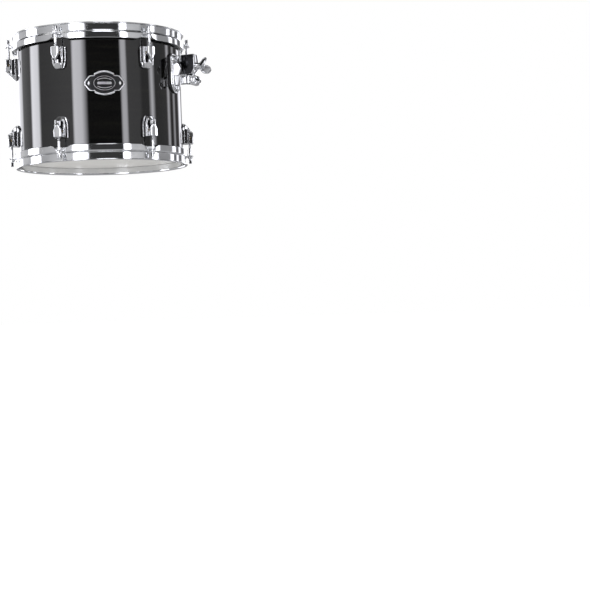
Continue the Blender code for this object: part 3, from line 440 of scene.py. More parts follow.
def grid_mesh(points, wrap_rows=False, wrap_columns=True, caps=False):
    """Quads over rows and columns of points, closed where asked, with normals out."""
    rows, columns = points.shape[:2]
    index = np.arange(rows * columns).reshape(rows, columns)
    ends = [index[0][::-1].tolist(), index[-1].tolist()] if caps else []
    if wrap_rows:
        index = np.vstack([index, index[:1]])
    if wrap_columns:
        index = np.hstack([index, index[:, :1]])
    quads = np.stack([index[:-1, :-1], index[:-1, 1:], index[1:, 1:], index[1:, :-1]], axis=-1)
    mesh = bpy.data.meshes.new("mesh")
    mesh.from_pydata(points.reshape(-1, 3).tolist(), [], quads.reshape(-1, 4).tolist() + ends)
    bm = bmesh.new()
    bm.from_mesh(mesh)
    bmesh.ops.remove_doubles(bm, verts=bm.verts, dist=WELD)
    bmesh.ops.recalc_face_normals(bm, faces=bm.faces)
    return mesh_of(bm, mesh)


def rounded(points, radius, steps=4, closed=True):
    """A polyline with arcs at its corners; radius is one size, or a list with one for each point."""
    count = len(points)
    radii = radius if isinstance(radius, list) else [radius] * count
    path = []
    for index, here in enumerate(points):
        corner = Vector(here)
        if radii[index] <= 0 or (not closed and index in (0, count - 1)):
            path.append(tuple(corner))
            continue
        back = Vector(points[index - 1]) - corner
        on = Vector(points[(index + 1) % count]) - corner
        opening = back.angle(on, pi)
        if opening > pi - STRAIGHT or opening < STRAIGHT:
            path += [tuple(corner)] * (steps + 1)
            continue
        cut = min(radii[index] / tan(opening / 2), EDGE_SHARE * back.length, EDGE_SHARE * on.length)
        back.normalize()
        on.normalize()
        centre = corner + (back + on).normalized() * cut / cos(opening / 2)
        start = corner + back * cut - centre
        end = corner + on * cut - centre
        sweep = start.angle(end)
        for step in range(steps + 1):
            share = step / steps
            arm = start * sin((1 - share) * sweep) + end * sin(share * sweep)
            path.append(tuple(centre + arm / sin(sweep)))
    return path


def swept(sections, angles):
    """Points of (radius, height) sections that stand at angles round Z; one section serves them all."""
    sections = np.broadcast_to(sections, (len(angles), *np.shape(sections)[-2:]))
    radii = sections[..., 0]
    across, along = np.cos(angles)[:, None], np.sin(angles)[:, None]
    return np.stack([radii * across, radii * along, sections[..., 1]], axis=-1)


def turned(profile, sides=96, closed=True, axis="Z", place=CENTRE):
    """A profile of (radius, height) pairs turned about an axis; an open one starts and ends on it."""
    mesh = grid_mesh(swept(profile, 2 * pi * np.arange(sides) / sides), wrap_rows=True, wrap_columns=closed)
    mesh.transform(Matrix.Translation(place) @ TURNS[axis])
    return mesh


def spun(outline, eases, steps=3, sides=48, axis="Z", place=CENTRE):
    """A solid turned from an outline with rounded corners, which is closed straight to the axis."""
    outline = [(0.0, outline[0][1]), *outline, (0.0, outline[-1][1])]
    return turned(rounded(outline, [0, *eases, 0], steps, False), sides, False, axis, place)


def disc(radius, low, high, place=CENTRE, axis="Z", sides=48, edge=0.0):
    """A round bar with rounded rims; place is where its axis passes, and low and high lie on it."""
    return spun([(radius, low), (radius, high)], [edge, edge], 3, sides, axis, place)


def rectangle(left, right, low, high):
    return [(left, low), (right, low), (right, high), (left, high)]


def ring(inner, outer, low, high, edge, sides=48, steps=3, axis="Z"):
    """A flat ring with rounded edges."""
    return turned(rounded(rectangle(inner, outer, low, high), edge, steps), sides, axis=axis)


def arc(centre, radius, start, end, steps):
    angles = [radians(start + (end - start) * step / steps) for step in range(steps + 1)]
    return [(centre[0] + radius * cos(angle), centre[1] + radius * sin(angle)) for angle in angles]


def mirrored(points):
    """The same points with the sign of the first number changed, in the opposite order."""
    return [(-across, along) for across, along in reversed(points)]


def prism(outline, low, high, axis="Z"):
    """A flat outline with a thickness: (y, z) for X, (x, z) for Y and (x, y) for Z."""
    order = {"X": (2, 0, 1), "Y": (0, 2, 1), "Z": (0, 1, 2)}[axis]
    bm = bmesh.new()
    rings = []
    for level in (low, high):
        points = [(across, along, level) for across, along in outline]
        rings.append([bm.verts.new([point[place] for place in order]) for point in points])
    bm.faces.new(rings[0])
    bm.faces.new(rings[1][::-1])
    for index in range(len(outline)):
        after = (index + 1) % len(outline)
        bm.faces.new((rings[0][index], rings[0][after], rings[1][after], rings[1][index]))
    bmesh.ops.recalc_face_normals(bm, faces=bm.faces)
    return mesh_of(bm)


def box(low, high):
    return prism(rectangle(low[0], high[0], low[1], high[1]), low[2], high[2])


def in_scene(name, data):
    obj = bpy.data.objects.new(name, data)
    bpy.context.scene.collection.objects.link(obj)
    return obj


def bake(obj):
    graph = bpy.context.evaluated_depsgraph_get()
    mesh = bpy.data.meshes.new_from_object(obj.evaluated_get(graph))
    bpy.data.objects.remove(obj)
    return mesh


def combine(base, joined=(), cut=(), within=()):
    """Join meshes to a base, keep what is within others, and cut others out of it."""
    body = in_scene("working", base)
    tools = []
    for operation, meshes in (("UNION", joined), ("INTERSECT", within), ("DIFFERENCE", cut)):
        for mesh in meshes:
            modifier = body.modifiers.new(operation, "BOOLEAN")
            modifier.operation = operation
            modifier.object = in_scene("working", mesh)
            tools.append(modifier.object)
    result = bake(body)
    for tool in tools:
        bpy.data.objects.remove(tool)
    return result


def bevelled(mesh, width, segments=3, angle=radians(30)):
    obj = in_scene("working", mesh)
    modifier = obj.modifiers.new("rounding", "BEVEL")
    modifier.width = width
    modifier.segments = segments
    modifier.limit_method = "ANGLE"
    modifier.angle_limit = angle
    return bake(obj)


def merged(*meshes):
    """Separate closed bodies in one mesh."""
    bm = bmesh.new()
    for mesh in meshes:
        bm.from_mesh(mesh)
    return mesh_of(bm)


def piece(name, mesh, finishes, replaces=(), body="root", where=DRUM, slot=None):
    """Put a mesh on the drum as a visible piece that rides on a body and stands for its nodes.

    The slot, the first finish's own name without the number that a name already taken gets, is worked out but
    not used.
    """
    finishes = finishes if isinstance(finishes, tuple) else (finishes,)
    if not mesh.materials:
        for finish in finishes:
            mesh.materials.append(finish)
    mesh.shade_smooth()
    mesh.set_sharp_from_angle(angle=CREASE)
    obj = in_scene(name, mesh)
    obj.matrix_world = where
    slot = slot or finishes[0].name.split(".")[0]
    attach(obj, body)
    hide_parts(*replaces)


# Materials
class Nodes:
    """A node tree with short calls for its nodes and links."""

    def __init__(self, tree):
        self.tree = tree

    def fill(self, target, value):
        """Set an input to a value, or link it to an output."""
        if isinstance(value, bpy.types.NodeSocket):
            self.tree.links.new(value, target)
        else:
            target.default_value = value

    def add(self, kind, *sources, **settings):
        """A node; sources fill its inputs in order, settings its properties and inputs by name."""
        node = self.tree.nodes.new(kind)
        for name, value in settings.items():
            if hasattr(node, name):
                setattr(node, name, value)
            else:
                self.fill(node.inputs[name], value)
        for target, value in zip(node.inputs, sources):
            self.fill(target, value)
        return node

    def ramp(self, value, stops):
        """A colour ramp over (position, colour) stops."""
        node = self.add("ShaderNodeValToRGB", value)
        elements = node.color_ramp.elements
        while len(elements) < len(stops):
            elements.new(0.5)
        for element, (position, colour) in zip(elements, stops):
            element.position = position
            element.color = (*colour, 1.0)
        return node.outputs["Color"]

    def mapped(self, value, low, high, new_low=0.0, new_high=1.0):
        return self.add("ShaderNodeMapRange", value, low, high, new_low, new_high).outputs["Result"]

    def mixed(self, factor, first, second):
        return self.add("ShaderNodeMixShader", factor, first, second).outputs["Shader"]

    def summed(self, first, second):
        return self.add("ShaderNodeAddShader", first, second).outputs["Shader"]


class Finish(Nodes):
    """A material whose tone, gloss and relief follow noises in the piece's own coordinates."""

    def __init__(self, name, colour, roughness, metallic=0.0):
        self.material = bpy.data.materials.new(name)
        self.material.use_nodes = True
        super().__init__(self.material.node_tree)
        self.shader = self.tree.nodes["Principled BSDF"]
        self.set("Base Color", (*colour, 1.0))
        self.set("Roughness", roughness)
        self.set("Metallic", metallic)

    def set(self, name, value):
        self.fill(self.shader.inputs[name], value)

    def noise(self, scale, detail, stretch=(1.0, 1.0, 1.0)):
        coordinates = self.add("ShaderNodeTexCoord").outputs["Object"]
        mapping = self.add("ShaderNodeMapping", coordinates, Scale=stretch).outputs["Vector"]
        return self.add("ShaderNodeTexNoise", mapping, Scale=scale, Detail=detail).outputs["Fac"]

    def tone(self, value, *stops):
        self.set("Base Color", self.ramp(value, stops))

    def gloss(self, value, low, high):
        self.set("Roughness", self.mapped(value, *NOISE_SPAN, low, high))

    def relief(self, value, height, target="Normal"):
        bump = self.add("ShaderNodeBump", Strength=1.0, Distance=height, Height=value)
        self.set(target, bump.outputs["Normal"])


def chrome_material():
    """Polished plate: faintly uneven gloss, a trace of orange peel and hazy patches from handling."""
    finish = Finish("chrome", (0.80, 0.81, 0.82), 0.06, 1.0)
    patches = finish.noise(38, 5)
    finish.tone(patches, (0.3, (0.74, 0.75, 0.765)), (0.7, (0.86, 0.865, 0.87)))
    finish.gloss(patches, 0.035, 0.10)
    finish.relief(finish.noise(260, 2), 0.000004)
    return finish.material


def lacquer_material():
    """Black stain over wood under a clear coat: a faint olive grain that runs round the shell."""
    finish = Finish("black_lacquer", (0.006, 0.006, 0.006), 0.4)
    grain = finish.noise(9, 8, (1.0, 1.0, 14.0))
    stain, bare, pore = (0.0022, 0.0022, 0.0024), (0.0045, 0.0045, 0.004), (0.010, 0.010, 0.007)
    finish.tone(grain, (0.35, stain), (0.6, bare), (0.8, pore))
    finish.gloss(grain, 0.42, 0.55)
    finish.set("Specular IOR Level", 0.0)
    finish.set("Coat Weight", 1.0)
    finish.set("Coat Roughness", 0.035)
    finish.set("Coat IOR", 1.7)
    finish.relief(finish.noise(30, 2, (1.0, 1.0, 2.0)), 0.000010, "Coat Normal")
    return finish.material


def film_material():
    """Coated drum head: off-white, with a fine sprayed grit."""
    finish = Finish("coated_film", (0.62, 0.61, 0.59), 0.5)
    finish.tone(finish.noise(14, 5), (0.3, (0.72, 0.71, 0.685)), (0.7, (0.79, 0.78, 0.755)))
    grit = finish.noise(1500, 3)
    finish.gloss(grit, 0.42, 0.62)
    finish.relief(grit, 0.00004)
    return finish.material


def grained(name, dark, light, rough, metallic=1.0, noise=(420, 4), height=0.00001, places=NOISE_SPAN):
    """Metal, rubber or fill with one fine grain in its tone, gloss and relief."""
    finish = Finish(name, light, rough[0], metallic)
    grain = finish.noise(*noise)
    finish.tone(grain, (places[0], dark), (places[1], light))
    finish.gloss(grain, *rough)
    finish.relief(grain, height)
    return finish.material


CHROME = chrome_material()
LACQUER = lacquer_material()
FILM = film_material()
ZINC = grained("zinc_steel", (0.48, 0.49, 0.50), (0.62, 0.63, 0.64), (0.225, 0.39))
ALUMINIUM = grained(
    "aluminium", (0.66, 0.67, 0.68), (0.78, 0.79, 0.80), (0.225, 0.39), noise=(500, 4, (1.0, 1.0, 6.0)),
)
BRASS = grained("brass", (0.18, 0.135, 0.075), (0.30, 0.235, 0.135), (0.255, 0.442))
BADGE_METAL = grained("badge_metal", (0.62, 0.62, 0.63), (0.80, 0.80, 0.81), (0.27, 0.468))
# Painted shade: a near-black chrome for the faces down in the lugs' grooves, standing for their shadow
PAINTED_GROOVE_SHADE = grained("chrome_painted_groove_shade", (0.012, 0.012, 0.013), (0.03, 0.03, 0.032), (0.3375, 0.585))
# Painted reflection: a near-black metal standing for the dark reflection on the clamp cheeks' chrome sides
PAINTED_DARK_REFLECTION = grained("plate_painted_dark_reflection", (0.030, 0.031, 0.034), (0.055, 0.056, 0.060), (0.075, 0.13))
RUBBER = grained("rubber", (0.010, 0.010, 0.011), (0.022, 0.022, 0.023), (0.5, 0.75), 0.0, (700, 4), 0.00002)
BADGE_FIELD = grained(
    "badge_field", (0.006, 0.006, 0.007), (0.05, 0.05, 0.052), (0.3, 0.55), 0.6, (1100, 2), 0.00003,
    (0.4, 0.75),
)


# Shell and heads
def build_shell():
    inner = SHELL_RADIUS - SHELL_WALL
    crest = SHELL_RADIUS - SHELL_CREST_INSET
    slope = crest - inner
    outline = [
        (crest, SHELL_HALF),
        (SHELL_RADIUS, SHELL_HALF - SHELL_CREST_INSET),
        (SHELL_RADIUS, SHELL_CREST_INSET - SHELL_HALF),
        (crest, -SHELL_HALF),
        (inner, slope - SHELL_HALF),
        (inner, SHELL_HALF - slope),
    ]
    vent = disc(VENT_HOLE_RADIUS, -SHELL_RADIUS - FAR_PAST, FAR_PAST - inner, axis="X", sides=32)
    shell = combine(turned(rounded(outline, SHELL_EASES), SHELL_SIDES), cut=[vent])
    piece("lacquered_shell", shell, LACQUER, ["shell"])


def build_heads():
    inner = COLLAR_RADIUS - FILM_THICKNESS
    outline = [
        (COLLAR_RADIUS, FILM_TOP), (COLLAR_RADIUS, FILM_BOTTOM), (inner, FILM_BOTTOM),
        (inner, FILM_TOP - FILM_THICKNESS),
    ]
    film = spun(outline, [FILM_SHOULDER, 0, 0, FILM_SHOULDER - FILM_THICKNESS], 6, HEAD_SIDES)
    flesh = ring(COLLAR_RADIUS + GAP, FLESH_RADIUS, FLESH_TOP, FLESH_BOTTOM, FLESH_EASES, HEAD_SIDES, 4)
    for side, body, where in (("batter", "root", DRUM), ("resonant", "resonant_hoop", DRUM @ OVER)):
        piece(f"{side}_head_film", film, FILM, [f"{side}_film"], body, where)
        piece(f"{side}_head_ring", flesh, ALUMINIUM, [f"{side}_flesh_hoop"], body, where)


# Hoops
def sheet_path(point, heading, moves):
    """Points and headings along a sheet's middle line.

    A move is (length, None, steps) where it runs straight and (radius, turn, steps) where it bends.
    """
    points = [np.array(point)]
    headings = [heading]
    for size, turn, steps in moves:
        bend = 0.0 if turn is None else turn / steps
        chord = size / steps if turn is None else 2 * size * sin(abs(bend) / 2)
        for _ in range(steps):
            along = heading + bend / 2
            points.append(points[-1] + chord * np.array((cos(along), sin(along))))
            heading += bend
            headings.append(heading)
    return np.array(points), np.array(headings)


def sheet_section(points, headings, half):
    """The closed outline of a sheet with round ends along its middle line."""
    normals = np.stack([-np.sin(headings), np.cos(headings)], axis=1)
    caps = []
    for end, start in ((-1, headings[-1] + pi / 2), (0, headings[0] - pi / 2)):
        angles = start - pi * np.arange(1, 5) / 5
        caps.append(points[end] + half * np.stack([np.cos(angles), np.sin(angles)], axis=1))
    return np.vstack([points + half * normals, caps[0], (points - half * normals)[::-1], caps[1]])


def ear_reach(angle):
    """How far an ear's outline lies from the drum's axis along a ray at a small angle from its middle."""
    tip_y = EAR_TIP_RADIUS * sin(EAR_TIP_SPREAD)
    tip_x = ROD_CIRCLE + EAR_TIP_RADIUS * cos(EAR_TIP_SPREAD)
    if angle < atan2(tip_y, tip_x):
        across = ROD_CIRCLE * sin(angle)
        return ROD_CIRCLE * cos(angle) + sqrt(EAR_TIP_RADIUS ** 2 - across ** 2)
    run = EAR_ROOT - tip_x
    rise = EAR_ROOT_HALF - tip_y
    return (tip_x * rise - tip_y * run) / (cos(angle) * rise - sin(angle) * run)


def hoop_section(angle):
    """The hoop's cut at an angle from the nearest ear: rim, wall, ledge, then skirt or ear."""
    half = HOOP_SHEET / 2
    ledge_turn = pi / 2 - LEDGE_TILT
    place = angle * HOOP_SKIRT_RADIUS
    ear_share = 1 - smooth(place, *EAR_FADE)
    skirt_bend = HOOP_SOFT_BEND + (HOOP_BEND - HOOP_SOFT_BEND) * (1 - smooth(place, *BEND_FADE))
    inner_tangent = HOOP_SOFT_BEND * tan(ledge_turn / 2)
    outer_tangent = skirt_bend * tan(ledge_turn / 2)
    corner_in = LEDGE_HEIGHT + tan(LEDGE_TILT) * (LEDGE_PLACE - HOOP_WALL_RADIUS)
    corner_out = LEDGE_HEIGHT + tan(LEDGE_TILT) * (LEDGE_PLACE - HOOP_SKIRT_RADIUS)
    rim_mid = RIM_HEIGHT - half
    wall = rim_mid - HOOP_RIM_BEND - (corner_in + inner_tangent)
    ledge = (HOOP_SKIRT_RADIUS - HOOP_WALL_RADIUS) / cos(LEDGE_TILT) - inner_tangent - outer_tangent
    skirt_start = corner_out - outer_tangent
    ear_bend = skirt_start - EAR_HEIGHT - SHORTEST_RUN
    drop = sin(acos(1 - share_of(place, SCALLOP_TOP_HALF, SCALLOP_BOTTOM_HALF)))
    edge = EAR_HEIGHT - drop * (EAR_HEIGHT - SKIRT_BOTTOM)
    down = max(SHORTEST_RUN, (skirt_start - edge - half) * (1 - ear_share))
    reach = ear_reach(angle) if place < EAR_ROOT_HALF else EAR_ROOT
    out = max(SHORTEST_RUN, (reach - half - HOOP_SKIRT_RADIUS - ear_bend) * ear_share)
    moves = [
        (HOOP_RIM_RADIUS - half - HOOP_WALL_RADIUS - HOOP_RIM_BEND, None, 3),
        (HOOP_RIM_BEND, pi / 2, 7),
        (wall, None, 6),
        (HOOP_SOFT_BEND, ledge_turn, 6),
        (ledge, None, 2),
        (skirt_bend, -ledge_turn, 7),
        (down, None, 8),
        (ear_bend, pi / 2 * ear_share, 5),
        (out, None, 8),
    ]
    return sheet_section(*sheet_path((HOOP_RIM_RADIUS - half, rim_mid), pi, moves), half)


def hoop_mesh():
    """The pressed hoop: its section swept round, with the columns close together at each ear."""
    step = 2 * pi / len(LUG_ANGLES)
    offsets = np.concatenate([
        np.linspace(-EAR_SPAN, EAR_SPAN, EAR_COLUMNS, endpoint=False),
        np.linspace(EAR_SPAN, step - EAR_SPAN, SCALLOP_COLUMNS, endpoint=False),
    ])
    sections = np.array([hoop_section(min(abs(offset), step - offset)) for offset in offsets])
    angles = np.concatenate([ear + offsets for ear in LUG_ANGLES])
    hoop = grid_mesh(swept(np.tile(sections, (len(LUG_ANGLES), 1, 1)), angles), wrap_rows=True)
    holes = []
    for ear in LUG_ANGLES:
        place = (ROD_CIRCLE * cos(ear), ROD_CIRCLE * sin(ear), 0.0)
        holes.append(disc(ROD_HOLE_RADIUS, EAR_HEIGHT - HOOP_SHEET, EAR_HEIGHT + HOOP_SHEET, place, sides=32))
    return combine(hoop, cut=[merged(*holes)])


def build_hoops():
    hoop = hoop_mesh()
    for side, where in (("batter", DRUM), ("resonant", DRUM @ OVER)):
        piece(f"{side}_counter_hoop", hoop, CHROME, [f"{side}_hoop"], f"{side}_hoop", where)


# Tension rods, lugs and their nuts
def threaded_bar(radius, levels, thread, pitch, depth, sides=20):
    """A bar along Z between two levels, with a V thread between two others that runs out at both ends."""
    low, high = levels
    start, end = thread
    rows = int((end - start) / pitch * THREAD_ROWS)
    turns = np.arange(sides) / sides
    points = []
    for height in (low, low + BAR_CHAMFER, *np.linspace(start, end, rows + 1), high):
        fade = smooth(height, start, start + pitch) * (1 - smooth(height, end - 2 * pitch, end))
        wave = 2 * np.abs((height / pitch - turns) % 1.0 - 0.5)
        reach = radius - depth * wave * fade - (BAR_CHAMFER if height == low else 0.0)
        across, along = reach * np.cos(2 * pi * turns), reach * np.sin(2 * pi * turns)
        points.append(np.stack([across, along, np.full(sides, height)], axis=1))
    return grid_mesh(np.array(points), caps=True)


def key_head(low, high):
    """The square head that a drum key turns, with eased edges."""
    half = KEY_HEAD / 2
    return bevelled(box((-half, -half, low), (half, half, high)), KEY_HEAD_EDGE)


def rod_mesh():
    washer_top = ROD_SEAT + ROD_WASHER_THICKNESS
    bottom = washer_top + GAP / 3
    flange_top = washer_top + ROD_FLANGE_HEIGHT
    neck_top = flange_top + ROD_NECK_HEIGHT
    outline = [
        (ROD_NECK_RADIUS, neck_top), (ROD_NECK_RADIUS, flange_top),
        (ROD_FLANGE_RADIUS, flange_top - ROD_FLANGE_SLOPE), (ROD_FLANGE_RADIUS, bottom),
    ]
    collar = spun(outline, [0.0004, 0.0008, 0.0007, 0.0003], sides=ROD_SIDES)
    thread = (ROD_END + THREAD_START, THREAD_TOP)
    bar = threaded_bar(ROD_RADIUS, (ROD_END, washer_top + PAST), thread, THREAD_PITCH, THREAD_DEPTH)
    rod = combine(collar, [bar, key_head(neck_top - ROD_NECK_HEIGHT / 2, ROD_TOP)])
    inner = ROD_RADIUS + GAP
    washer = ring(inner, ROD_WASHER_RADIUS, washer_top, ROD_SEAT, edge=0.0004, sides=ROD_SIDES, steps=2)
    return merged(rod, washer)


def build_rods():
    rod = rod_mesh()
    out = Matrix.Translation(ROD_AXIS)
    for side, number, where in LUG_PLACES:
        node = f"{side}_tension_rod_{number}"
        piece(f"{side}_key_rod_{number}", rod, CHROME, [node], f"{side}_rod_{number}", where @ out)


def lug_widths(height, half):
    """Half of the shield outline's width: straight, then drawn in to the tip by a quarter ellipse."""
    drop = share_of(height, (LUG_TOP + LUG_BOTTOM) / 2, LUG_BOTTOM)
    return LUG_TIP_HALF + (half - LUG_TIP_HALF) * sqrt(1 - drop * drop)


class LugCut:
    """A lug's level cut in numbers: radii of its faces and half widths of its boss, ridge and frame."""

    def __init__(self, height, inset=0.0):
        slope = (LUG_FACE - LUG_TIP_FACE) / (LUG_FACE_END - LUG_BOTTOM)
        self.face = min(LUG_FACE, LUG_FACE - (LUG_FACE_END - height) * slope) - inset
        self.frame = min(LUG_FRAME_FACE, self.face - LUG_FRAME_DROP) - LUG_SLIM * inset
        self.flange = min(LUG_FLANGE_FACE, self.frame - LUG_FLANGE_DROP)
        self.wide = lug_widths(height, LUG_BODY_HALF) - LUG_NARROW * inset
        self.tip = 1 - smooth(height, *LUG_TIP_BLEND)
        boss = LUG_STRUT_HALF + (LUG_BOSS_HALF - LUG_STRUT_HALF) * share_of(height, *LUG_BOSS_BLEND)
        self.boss = boss + (self.wide - LUG_TIP_RIM - boss) * self.tip - LUG_NARROW * inset
        into = max(0.0, (height - LUG_ARCH_START) / LUG_ARCH_HEIGHT)
        arch = sqrt(max(0.0, 1 - into * into))
        ridge = self.wide * LUG_RIDGE_SHARE
        self.ridge = ridge + (self.wide - LUG_RIDGE_INSET - ridge) * arch
        rise = (LUG_RIDGE_FACE - LUG_FRAME_FACE) * (1 - arch)
        self.ridge_top = self.frame + rise * smooth(self.face, *LUG_RIDGE_BLEND)
        self.channel = self.frame - LUG_CHANNEL_DEPTH * sqrt(share_of(height, *LUG_CHANNEL_BLEND))
        floor = LUG_GROOVE_FLOOR + (self.frame - 2 * LUG_DRAFT - LUG_GROOVE_FLOOR) * self.tip
        self.floor = min(max(floor, self.flange + LUG_EASE), self.frame - LUG_DRAFT)


def lug_section(height, inset):
    """The outline of a lug's level cut: boss, groove, ridge, channel, frame, flank, flange and back."""
    cut = LugCut(height, inset)
    flange_half = lug_widths(height, LUG_FLANGE_HALF) - LUG_SLIM * inset
    flank = min(max(LUG_FLANK_BASE, cut.flange + LUG_DRAFT), cut.frame - 2 * LUG_DRAFT)
    edge = cut.wide - LUG_FRAME_WIDTH
    far_ridge = cut.ridge + LUG_RIDGE_WIDTH
    face_ease = max(0.00001, min(LUG_FACE_EASE, 0.4 * cut.boss, 0.45 * (cut.face - cut.floor)))
    corners = [
        (cut.face, 0.0, 0),
        (cut.face - LUG_DRAFT / 2, cut.boss, face_ease),
        (cut.floor, cut.boss + LUG_DRAFT, LUG_EASE),
        (cut.floor, cut.ridge - LUG_DRAFT, LUG_EASE),
        (cut.ridge_top, cut.ridge, LUG_EASE),
        (cut.ridge_top, far_ridge, LUG_EASE),
        (cut.channel, far_ridge + LUG_DRAFT, 0.0002),
        (cut.channel, edge - LUG_DRAFT / 2, 0.0002),
        (cut.frame, edge, LUG_EASE),
        (cut.frame, cut.wide, 0.0005),
        (flank, cut.wide, 0),
        (cut.flange, cut.wide + LUG_DRAFT, LUG_EASE),
        (cut.flange, flange_half, 0.0006),
        (LUG_BACK, flange_half, 0.0002),
        (LUG_BACK, 0.0, 0),
    ]
    path = rounded([corner[:2] for corner in corners], [corner[2] for corner in corners], 4, False)
    return path + [(radius, -across) for radius, across in reversed(path[1:-1])]


def paint_groove_shade(mesh):
    """Paint shade on the faces down in a lug's grooves and recesses: they get the second finish, dull and
    near black, which is painted shade.
    """
    for face in mesh.polygons:
        radius, across, height = face.center
        across = abs(across)
        cut = LugCut(height)
        if cut.tip > SHADE_TIP or radius <= SHADE_BACK or not SHADE_LOW < height < SHADE_HIGH:
            continue
        draft = LUG_DRAFT
        in_groove = cut.boss - LUG_EASE < across < cut.ridge + draft / 2 and radius < cut.frame + 6 * draft
        in_channel = cut.ridge + 4 * draft < across < cut.wide - 4 * draft and radius < cut.frame - 2 * draft
        at_base = cut.wide - draft < across < cut.wide + 2 * draft and radius < LUG_FLANK_BASE + draft / 2
        if in_groove or in_channel or at_base:
            face.material_index = 1


def lug_mesh():
    """One upper lug at +X as a loft of level cuts, then bored for its rod and swivel nut."""
    turns = [pi / 2 * step / 5 for step in range(6)]
    low = LUG_BOTTOM + LUG_BOTTOM_EASE
    high = LUG_TOP - LUG_TOP_EASE
    drawn = LUG_BOTTOM_EASE * LUG_BOTTOM_DRAW
    cuts = [(low - LUG_BOTTOM_EASE * cos(turn), drawn * (1 - sin(turn))) for turn in turns]
    cuts += [(height, 0.0) for height in np.linspace(low, high, LUG_LEVELS + 1)[1:-1]]
    cuts += [(high + LUG_TOP_EASE * sin(turn), LUG_TOP_EASE * (1 - cos(turn))) for turn in turns]
    rows = []
    for height, inset in cuts:
        rows.append([(radius, across, height) for radius, across in lug_section(height, inset)])
    body = grid_mesh(np.array(rows), caps=True)
    bore = disc(LUG_BORE_RADIUS, ROD_END - ROD_WASHER_THICKNESS, LUG_TOP + 2 * PAST, ROD_AXIS, sides=32)
    mouth = [(LUG_BORE_RADIUS + LUG_MOUTH, LUG_TOP + PAST), (LUG_BORE_RADIUS - PAST, LUG_TOP - LUG_MOUTH)]
    mouth = spun(mouth, [0, 0], sides=32, place=ROD_AXIS)
    cavity = NUT_HALF + GAP
    reach = LUG_BOSS_HALF + 2 * LUG_DRAFT
    pocket = disc(NUT_POCKET_RADIUS, -cavity, cavity, NUT_PLACE, "Y", 40)
    hole = disc(NUT_HOLE_RADIUS, -reach, reach, NUT_PLACE, "Y", 32)
    lug = combine(body, cut=[bore, mouth, pocket, hole])
    screws = []
    for height in LUG_SCREW_HEIGHTS:
        hexagon = arc((0.0, height), LUG_SCREW_HEAD, 0, 300, 5)
        head = bevelled(prism(hexagon, LUG_SCREW_END, LUG_SCREW_SEAT, "X"), width=0.0003, segments=2)
        shank_end = LUG_BACK - PAD_GAP
        shank = disc(LUG_SCREW_RADIUS, LUG_SCREW_SEAT - GAP, shank_end, (0.0, 0.0, height), "X", 16)
        screws.append(combine(head, [shank]))
    lug = merged(lug, *screws)
    paint_groove_shade(lug)
    return lug


def nut_mesh():
    barrel = disc(NUT_RADIUS, -NUT_HALF, NUT_HALF, NUT_PLACE, "Y", 32, edge=0.0008)
    low, high = NUT_HEIGHT - NUT_THREAD_REACH, NUT_HEIGHT + NUT_THREAD_REACH
    thread = disc(ROD_RADIUS + 2 * GAP, low, high, ROD_AXIS, sides=24)
    return combine(barrel, cut=[thread])


def rubber_pad(outline, depth, back, low, high):
    """A pad of the given outline under a casting, hollowed to the shell."""
    core = disc(SHELL_RADIUS + PAD_CLEARANCE, low - FAR_PAST, high + FAR_PAST, sides=SHELL_SIDES)
    return combine(prism(outline, SHELL_RADIUS - depth, back, "X"), cut=[core])


def lug_gasket():
    """The pad under a lug, a little proud of the flange."""
    outline = []
    for height in np.linspace(LUG_TOP + LUG_PAD_RISE, LUG_BOTTOM - LUG_PAD_RISE, 25):
        outline.append((lug_widths(height, LUG_FLANGE_HALF) + LUG_PAD_PROUD, height))
    outline += mirrored(outline)
    return rubber_pad(outline, LUG_PAD_BURY, LUG_BACK - PAD_GAP, LUG_BOTTOM, LUG_TOP)


def build_lugs():
    lug = lug_mesh()
    nut = nut_mesh()
    gasket = lug_gasket()
    for side, number, where in LUG_PLACES:
        casting = f"{side}_lug_casting_{number}"
        # The casting's second finish is painted shade in its grooves
        piece(casting, lug, (CHROME, PAINTED_GROOVE_SHADE), [f"{side}_lug_{number}"], where=where)
        piece(f"{side}_lug_nut_{number}", nut, BRASS, [f"{side}_swivel_nut_{number}"], where=where)
        piece(f"{side}_lug_gasket_{number}", gasket, RUBBER, where=where)


# Badge
def badge_outline(inset=0.0, arch_inset=0.0):
    """A core with arched ends and a pointed wing on each side, drawn in by an inset at wings and arches."""
    tip = (BADGE_HALF_WIDTH - inset * BADGE_TIP_DRAW, BADGE_TIP_HALF)
    shoulder = (BADGE_SHOULDER - inset, BADGE_WING_SIDE - inset)
    root = (BADGE_CORE_HALF - inset * BADGE_CORE_DRAW, BADGE_WING_SIDE - inset)
    half = BADGE_CORE_HALF - arch_inset * BADGE_CORE_DRAW
    side = BADGE_CORE_SIDE - arch_inset
    quarter = rounded([tip, shoulder, root], [0.003, 0.006, 0.0012], 4, False)
    for step in range(BADGE_STEPS + 1):
        share = 1 - step / BADGE_STEPS
        quarter.append((share * half, side + (BADGE_HALF_HEIGHT - BADGE_CORE_SIDE) * cos(share * pi / 2)))
    upper = quarter + mirrored(quarter[:-1])
    return upper + [(across, -along) for across, along in reversed(upper)]


def oval(inset=0.0):
    turns = [2 * pi * step / OVAL_SIDES for step in range(OVAL_SIDES)]
    return [((OVAL_HALF_WIDTH - inset) * cos(turn), (OVAL_HALF_HEIGHT - inset) * sin(turn)) for turn in turns]


